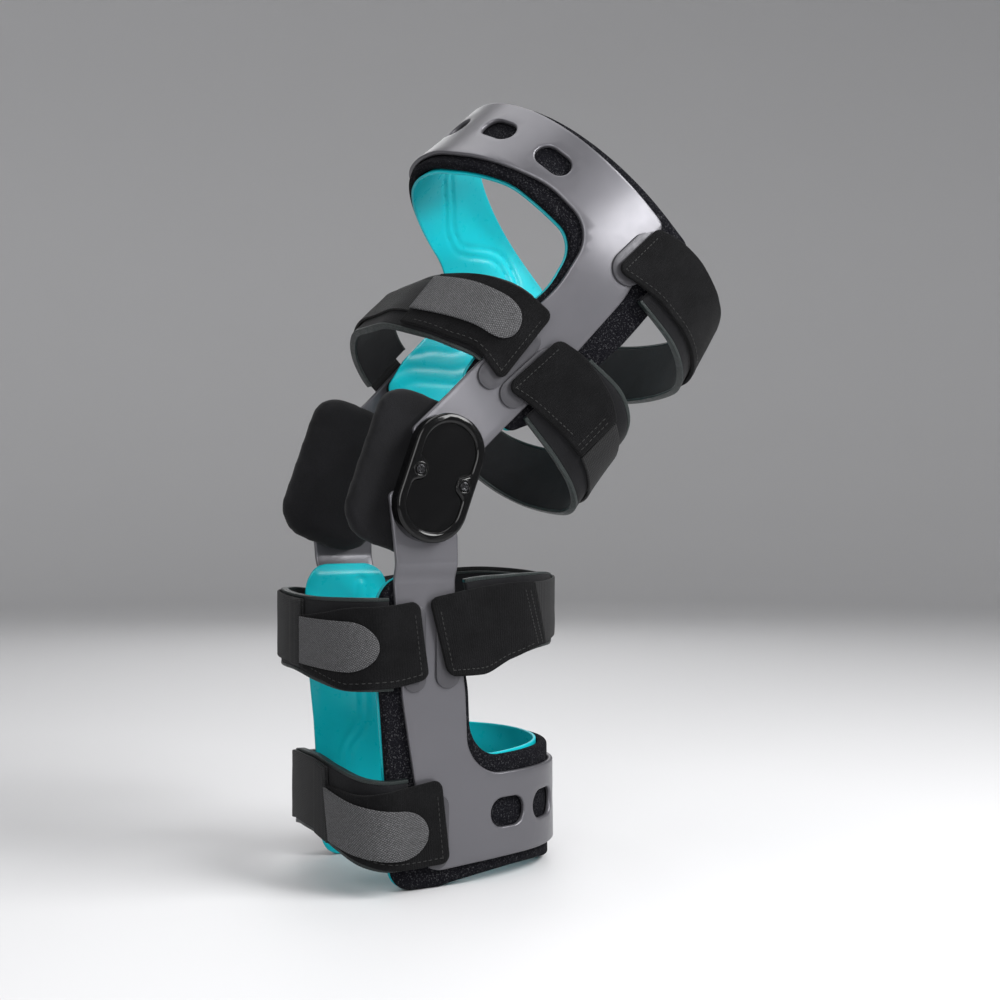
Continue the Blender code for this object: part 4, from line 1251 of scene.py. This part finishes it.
class Strap:
    """One strap being made: its guide, how it is scored, and where its band folds."""

    def __init__(self, name, number):
        self.name, self.number = name, number
        self.body, turn, flare, self.pad_y = STRAPS[name]
        self.guide = StrapRun(STRAP_ROWS[name], turn, flare)
        self.base = TAB + 2 * GAP
        self.sag = sizes().strap_sag / MM
        step = sizes().strap_step / MM
        self.bends = (np.arange(step, self.guide.length, step), np.arange(-35.0, 36.0, 5.0))
        self.rows, self.fold_low, self.fold_high = BANDS[name]
        self.whole = self.fold_low is None
        if self.whole:
            self.fold_low = self.fold_high = self.guide.length
        else:
            low, high = WEBBINGS[name]
            self.straight = [(0.0, low, high), (self.guide.length, low, high)]

    def cut(self, part, outline, profile):
        return cut_flat(f"{self.name}_{part}", outline, profile, scores=self.bends)

    def lay(self, piece, base, shape=None):
        return lay_on(piece, self.guide, self.body, base=base, shape=shape)

    def uneven(self, u, b, offset):
        return offset + wander(u, b, self.sag, 14.0, self.number)

    def make_band(self):
        """The brushed band, and the woven end that goes on where the band folds."""
        outline = cut_edges(self.rows, 0.0, self.fold_low, self.fold_high, BAND_CORNER,
                            BAND_CORNER if self.whole else 0.8)
        band = self.cut("loop_cloth", outline, rounded_edge(BAND, 0.95, 3))
        self.lay(band, self.base, self.uneven)
        finish_piece(band, self.body, look("loop"), [self.name + "_band"])
        if self.whole:
            return
        outline = cut_edges(self.straight, self.guide.length, self.fold_low + FOLD_GAP,
                            self.fold_high + FOLD_GAP, 1.5, 0.3)
        webbing = self.cut("woven_end", outline, rounded_edge(WEBBING, 0.6, 2))
        self.lay(webbing, self.base, self.uneven)
        finish_piece(webbing, self.body, look("webbing"),
                     [self.name + "_webbing"])

    def make_pad(self):
        """The pad under the band, with its two edges bound."""
        rows = PADS[self.name]
        start = self.guide.find(self.pad_y, 0.0, 0.4)
        end = self.guide.find(self.pad_y, 0.6, 1.0)
        base = self.base - LAYER_GAP - PAD

        def crowned(u, b, offset):
            """The pad swells a little towards the leg between its bound edges and its ends."""
            low, high = smooth_row(rows, u)
            ends = min(1.0, max(0.0, min(u - start, end - u) / PAD_CROWN_RUN))
            crown = PAD_CROWN * ends * max(0.0, 1 - ((2 * b - low - high) / (high - low))**2)
            inner = (PAD - offset) / PAD
            return (offset - crown * inner
                    + wander(u, b, self.sag, 22.0, self.number + 20) * inner)

        pad = self.cut("cushion", cut_edges(rows, start, end, end, 1.0, 1.0),
                       rounded_edge(PAD, 1.2, 3))
        self.lay(pad, base, crowned)
        finish_piece(pad, self.body, look("pad"), [self.name + "_pad"])
        edges = []
        for column, way in ((1, -1), (2, 1)):
            line = [(row[0], row[column] - BINDING_HALF + BINDING_OUT * way,
                     row[column] + BINDING_HALF + BINDING_OUT * way) for row in rows]
            edges.append(cut_flat("edge", cut_edges(line, start, end, end, 0.4, 0.4),
                                  rounded_edge(PAD + 0.2, 0.3, 2), scores=(self.bends[0], ())))
        binding = join_all(edges, self.name + "_binding")
        self.lay(binding, base - 0.1)
        finish_piece(binding, self.body, look("binding"))

    def make_hook(self, on_band):
        """The hook tab on the band, and the raised keeper that some tabs come out from."""
        tip, rows, fold_low, fold_high, kept = HOOK_TABS[self.name]
        tab = self.cut("hook_tab", hook_outline(tip, rows, fold_low, fold_high),
                       rounded_edge(HOOK_TAB, 0.4, 2))
        self.lay(tab, on_band + LAYER_GAP)
        finish_piece(tab, self.body, look("hook"), [self.name + "_hook"])
        if kept:
            low, high = fold_low + KEEPER_GAP, fold_high + KEEPER_GAP
            outline = cut_edges(self.straight, high + KEEPER_LENGTH, low, high, 1.4, 1.4)
            keeper = self.cut("keeper", outline, rounded_edge(KEEPER, 1.1, 3))
            self.lay(keeper, self.base + WEBBING + 0.25)
            finish_piece(keeper, self.body, look("webbing"))

    def seams(self):
        """Rows of stitches along the low edge, across the end, and twice across a plain fold."""
        marks = np.arange(5.0, max(self.fold_low, self.fold_high) - 5.0, SEAM_STEP)
        seam = [(u, smooth_row(self.rows, u)[0] + SEAM_INSET) for u in marks]
        low, high = smooth_row(self.rows, 4.0)
        stitched = list(zip(seam, seam[1:])) + [((4.0, low + 4.0), (4.0, high - 4.0))]
        if self.name not in HOOK_TABS and not self.whole:
            for back in (3.5, 6.5):
                top, bottom = self.fold_high - back, self.fold_low - back
                stitched.append(((bottom, smooth_row(self.rows, bottom)[0] + 3.0),
                                 (top, smooth_row(self.rows, top)[1] - 3.0)))
        return stitched

    def make(self):
        on_band = self.base + BAND
        self.make_band()
        self.make_pad()
        if self.name in HOOK_TABS:
            self.make_hook(on_band)
        stitch_rows(self.name + "_stitching", self.guide, self.body, self.seams(), on_band + 0.05)


def make_straps():
    for number, name in enumerate(STRAPS):
        Strap(name, number).make()


def peanut(scale=1.0):
    """The sunk panel of a cover: two lobes with a notch beside each screw."""
    half_width, half_height = COVER_SIZE[0] / 2 - COVER_RIM, COVER_SIZE[1] / 2 - COVER_RIM
    straight = half_height - half_width
    centre = PIVOT_SPACING / 2
    right = [(half_width - NOTCH_DEPTH * math.exp(-(along / NOTCH_HALF)**4), along)
             for along in np.linspace(-straight, straight, 31)]
    top = [(half_width * math.cos(a), straight + half_width * math.sin(a))
           for a in np.radians(np.arange(6, 180, 6))]
    half = right + top
    whole = half + [(-across, -along) for across, along in half]
    return [(across * scale, centre + along * scale) for across, along in whole]


def cover_edge(thickness, radius):
    """Square at the base, generously rounded at the top."""
    return [(0.0, 0.0)] + [point for point in rounded_edge(thickness, radius, 5)
                           if point[1] > thickness / 2]


def cross(reach, half):
    """A cross-shaped recess."""
    arm = [(half, half), (reach, half), (reach, -half)]
    return [(x * c - y * s, x * s + y * c)
            for c, s in ((1, 0), (0, -1), (-1, 0), (0, 1)) for x, y in arm]


def make_cover(side_name, side, body):
    """A glossy rim round a sunk, slightly domed panel, with a boss for each screw."""
    centre = PIVOT_SPACING / 2
    thickness = COVER_TOP - COVER_BASE
    guide = SidePlate(side, COVER_BASE)

    def domed(a, b, offset):
        away = (a / 15.0)**2 + ((b - centre) / 29.0)**2
        return offset + (PANEL_DOME * max(0.0, 1 - away) if offset > 1.0 else 0.0)

    parts = [lay_on(cut_flat("rim", stadium(*COVER_SIZE, (0.0, centre), 1.0),
                             cover_edge(thickness, 1.7), [peanut()]), guide, body)]
    panel = cut_flat("panel", peanut(1.06), cover_edge(thickness - PANEL_SUNK, 0.6),
                     scores=(np.arange(-18.0, 19.0, 2.0), np.arange(-18.0, 48.0, 2.0)))
    parts.append(lay_on(panel, guide, body, shape=domed))
    for across in (-SCREW_OFFSET, SCREW_OFFSET):
        boss = cut_flat("boss", circle((across, centre), BOSS_RADIUS),
                        cover_edge(thickness + BOSS_RISE, 0.5),
                        [circle((across, centre), SCREW_RADIUS + SCREW_GAP)])
        parts.append(lay_on(boss, guide, body))
    cover = join_all(parts, f"{side_name}_cover")
    finish_piece(cover, body, look("cover"), [f"{side_name}_hinge_cover"])


def make_screw(name, side, body, across, turn):
    """A cross-head screw: its head with the recess through it, and a floor under the recess."""
    head = cut_flat("head", circle((0.0, 0.0), SCREW_RADIUS), cover_edge(SCREW_HEAD, 0.45),
                    [cross(1.6, 0.36)])
    floor = cut_flat("floor", circle((0.0, 0.0), SCREW_RADIUS - 0.5), [(0.0, 0.05), (0.0, 0.3)])
    screw = join_all([head, floor], f"{name}_head")
    screw.data.transform(Matrix.Translation((across, PIVOT_SPACING / 2, 0.0))
                         @ Matrix.Rotation(math.radians(turn), 4, "Z"))
    lay_on(screw, SidePlate(side, COVER_TOP - 0.2), body)
    finish_piece(screw, body, look("screw"), [name])


def make_hinges():
    """Glossy covers with a sunk panel, and cross-head screws; the plates and pins get steel."""
    for side_name, side in (("lateral", 1), ("medial", -1)):
        body = f"{side_name}_hinge"
        make_cover(side_name, side, body)
        make_screw(f"{side_name}_front_screw", side, body, -SCREW_OFFSET, 20.0)
        make_screw(f"{side_name}_rear_screw", side, body, SCREW_OFFSET, 51.0)
        for part in ("hinge_plate", "lower_pin", "upper_pin"):
            for place in frame["nodes"][f"{side_name}_{part}"].material_slots:
                place.material = look("steel")


def puff_up(piece, cap, still):
    """Blow up a closed skin with air, hold its fixed side, and cap how far it may move."""
    before = np.array([tuple(v.co) for v in piece.data.vertices])
    group = piece.vertex_groups.new(name="held")
    group.add([v.index for v in piece.data.vertices if still(v.co)], 1.0, "REPLACE")
    air = piece.modifiers.new("air", "CLOTH")
    air.settings.vertex_group_mass = group.name
    air.settings.use_pressure = True
    air.settings.uniform_pressure_force = 4.0
    air.settings.effector_weights.gravity = 0.0
    for number in range(1, 21):
        bpy.context.scene.frame_set(number)
    select_only(piece)
    bpy.ops.object.modifier_apply(modifier=air.name)
    after = np.array([tuple(v.co) for v in piece.data.vertices])
    move = after - before
    length = np.linalg.norm(move, axis=1)
    move *= np.minimum(1.0, cap / np.maximum(length, 1e-9))[:, None]
    piece.data.vertices.foreach_set("co", (before + move).ravel())
    piece.data.update()
    bpy.context.scene.frame_set(1)
    piece.vertex_groups.clear()


def make_condyle_pads():
    """Soft pads inside the hinges: remeshed, blown up with air and smoothed once."""
    front, rear, low, high = CONDYLE_SPAN
    outline = rounded([(front, low, 19.0), (rear, low, 19.0), (rear, high, 17.0),
                       (front, high, 15.0)])
    for side_name, side in (("lateral", 1), ("medial", -1)):
        body = f"{side_name}_hinge"
        pad = cut_flat(f"{side_name}_pad_skin", outline, CONDYLE_RINGS)
        lay_on(pad, SidePlate(side, CONDYLE_BACK), body, shape=lambda a, b, offset: -offset)
        even = pad.modifiers.new("even", "REMESH")
        even.mode = "VOXEL"
        even.voxel_size = 0.004
        bpy.ops.object.modifier_apply(modifier=even.name)
        fixed = (CONDYLE_BACK - CONDYLE_HELD) * MM
        puff_up(pad, sizes().pad_cap, lambda co: abs(co.x) > fixed)
        smooth = pad.modifiers.new("smooth", "SUBSURF")
        smooth.levels = smooth.render_levels = 1
        select_only(pad)
        bpy.ops.object.modifier_apply(modifier=smooth.name)
        bpy.ops.object.shade_smooth()
        finish_piece(pad, body, look("pad"), [f"{side_name}_condyle_pad"])


def make_stage():
    """A pale round sweep, soft lights and the camera at the photograph's place."""
    bpy.ops.object.select_all(action="DESELECT")
    bpy.ops.mesh.primitive_circle_add(vertices=96, radius=SWEEP_RINGS[0][0], fill_type="NGON",
                                      location=(0, 0, 0), enter_editmode=True)
    sweep = bpy.context.object
    sweep.name = sweep.data.name = "studio_sweep"
    bpy.ops.mesh.select_mode(type="EDGE")
    bpy.ops.mesh.select_all(action="SELECT")
    bpy.ops.mesh.region_to_loop()
    for radius, height in SWEEP_RINGS[1:]:
        bpy.ops.mesh.extrude_edges_move()
        bm = bmesh.from_edit_mesh(sweep.data)
        for vert in bm.verts:
            if vert.select:
                heading = Vector((vert.co.x, vert.co.y)).normalized() * radius
                vert.co = (heading.x, heading.y, height)
        bmesh.update_edit_mesh(sweep.data)
    bpy.ops.mesh.select_all(action="SELECT")
    bpy.ops.mesh.normals_make_consistent(inside=True)
    bpy.ops.object.mode_set(mode="OBJECT")
    bpy.ops.object.shade_smooth()
    sweep.data.transform(Matrix.Translation((0.0, 0.0, -0.0003)))
    tone = tuple(colours().floor)
    ground = Shader("studio sweep", tone, 0.6)
    cloud = ground.noise(ground.place(), 2.0)
    ground.set("Base Color", ground.colour_between(cloud, tint(tone, 0.985), tone))
    sweep.data.materials.append(ground.material)

    for name, place, size, power in LIGHTS:
        bpy.ops.object.light_add(type="AREA", location=place)
        light = bpy.context.object
        light.name = light.data.name = f"{name}_light"
        light.data.shape = "DISK"
        light.data.size = size
        light.data.energy = power
        light.rotation_euler = (Vector(place) - TARGET).to_track_quat("Z", "Y").to_euler()
    world = bpy.context.scene.world or bpy.data.worlds.new("studio")
    bpy.context.scene.world = world
    world.use_nodes = True
    background = next(n for n in world.node_tree.nodes if n.type == "BACKGROUND")
    background.inputs["Color"].default_value = (1.0, 1.0, 1.0, 1.0)
    background.inputs["Strength"].default_value = 0.3
    bpy.context.scene.view_settings.view_transform = "Standard"

    bpy.ops.object.camera_add(location=CAMERA_PLACE,
                              rotation=(math.radians(90), 0.0, math.radians(CAMERA_HEADING)))
    camera = bpy.context.object
    camera.data.lens = CAMERA_LENS
    camera.data.sensor_width = 36.0
    bpy.context.scene.camera = camera


class BRACE_OT_frames(bpy.types.Operator):
    """Model both rigid frames with rolled rims, slots and pin holes"""

    bl_idname = "brace.frames"
    bl_label = "Rigid frames"

    def execute(self, context):
        make_frames()
        return {"FINISHED"}


class BRACE_OT_liners(bpy.types.Operator):
    """Model the foam padding and its moulded faces"""

    bl_idname = "brace.liners"
    bl_label = "Padding and faces"

    def execute(self, context):
        make_liners()
        return {"FINISHED"}


class BRACE_OT_tongues(bpy.types.Operator):
    """Model the smoky tongues under the strap ends"""

    bl_idname = "brace.tongues"
    bl_label = "Strap tongues"

    def execute(self, context):
        make_strap_tongues()
        return {"FINISHED"}


class BRACE_OT_straps(bpy.types.Operator):
    """Model the six straps with their pads, hook tabs and stitching"""

    bl_idname = "brace.straps"
    bl_label = "Straps"

    def execute(self, context):
        make_straps()
        return {"FINISHED"}


class BRACE_OT_hinges(bpy.types.Operator):
    """Model the hinge covers and screws, and finish the plates and pins"""

    bl_idname = "brace.hinges"
    bl_label = "Hinge covers"

    def execute(self, context):
        make_hinges()
        return {"FINISHED"}


class BRACE_OT_condyle_pads(bpy.types.Operator):
    """Model the soft pads inside the hinges with a cloth simulation"""

    bl_idname = "brace.condyle_pads"
    bl_label = "Condyle pads"

    def execute(self, context):
        make_condyle_pads()
        return {"FINISHED"}


class BRACE_OT_stage(bpy.types.Operator):
    """Set the pale sweep, the soft lights and the camera"""

    bl_idname = "brace.stage"
    bl_label = "Studio"

    def execute(self, context):
        make_stage()
        return {"FINISHED"}


OPERATORS = (BRACE_OT_frames, BRACE_OT_liners, BRACE_OT_tongues, BRACE_OT_straps,
             BRACE_OT_hinges, BRACE_OT_condyle_pads, BRACE_OT_stage)


class BRACE_PT_panel(bpy.types.Panel):
    """Lists the brace's sizes, colours and pieces in the 3D view's sidebar"""

    bl_idname = "BRACE_PT_panel"
    bl_label = "Knee Brace"
    bl_space_type = "VIEW_3D"
    bl_region_type = "UI"
    bl_category = "Knee Brace"

    def draw(self, context):
        layout = self.layout
        for settings in (context.scene.brace_sizes, context.scene.brace_colours):
            box = layout.box()
            for name in settings.__annotations__:
                box.prop(settings, name)
        for operator in OPERATORS:
            layout.operator(operator.bl_idname)


CLASSES = (BraceSizes, BraceColours, *OPERATORS, BRACE_PT_panel)


def register():
    for kind in CLASSES:
        bpy.utils.register_class(kind)
    bpy.types.Scene.brace_sizes = bpy.props.PointerProperty(type=BraceSizes)
    bpy.types.Scene.brace_colours = bpy.props.PointerProperty(type=BraceColours)


def unregister():
    del bpy.types.Scene.brace_colours
    del bpy.types.Scene.brace_sizes
    for kind in reversed(CLASSES):
        bpy.utils.unregister_class(kind)


def main():
    register()
    bpy.ops.brace.frames()
    bpy.ops.brace.liners()
    bpy.ops.brace.tongues()
    bpy.ops.brace.straps()
    bpy.ops.brace.hinges()
    bpy.ops.brace.condyle_pads()
    bpy.ops.brace.stage()


if __name__ == "__main__":
    main()
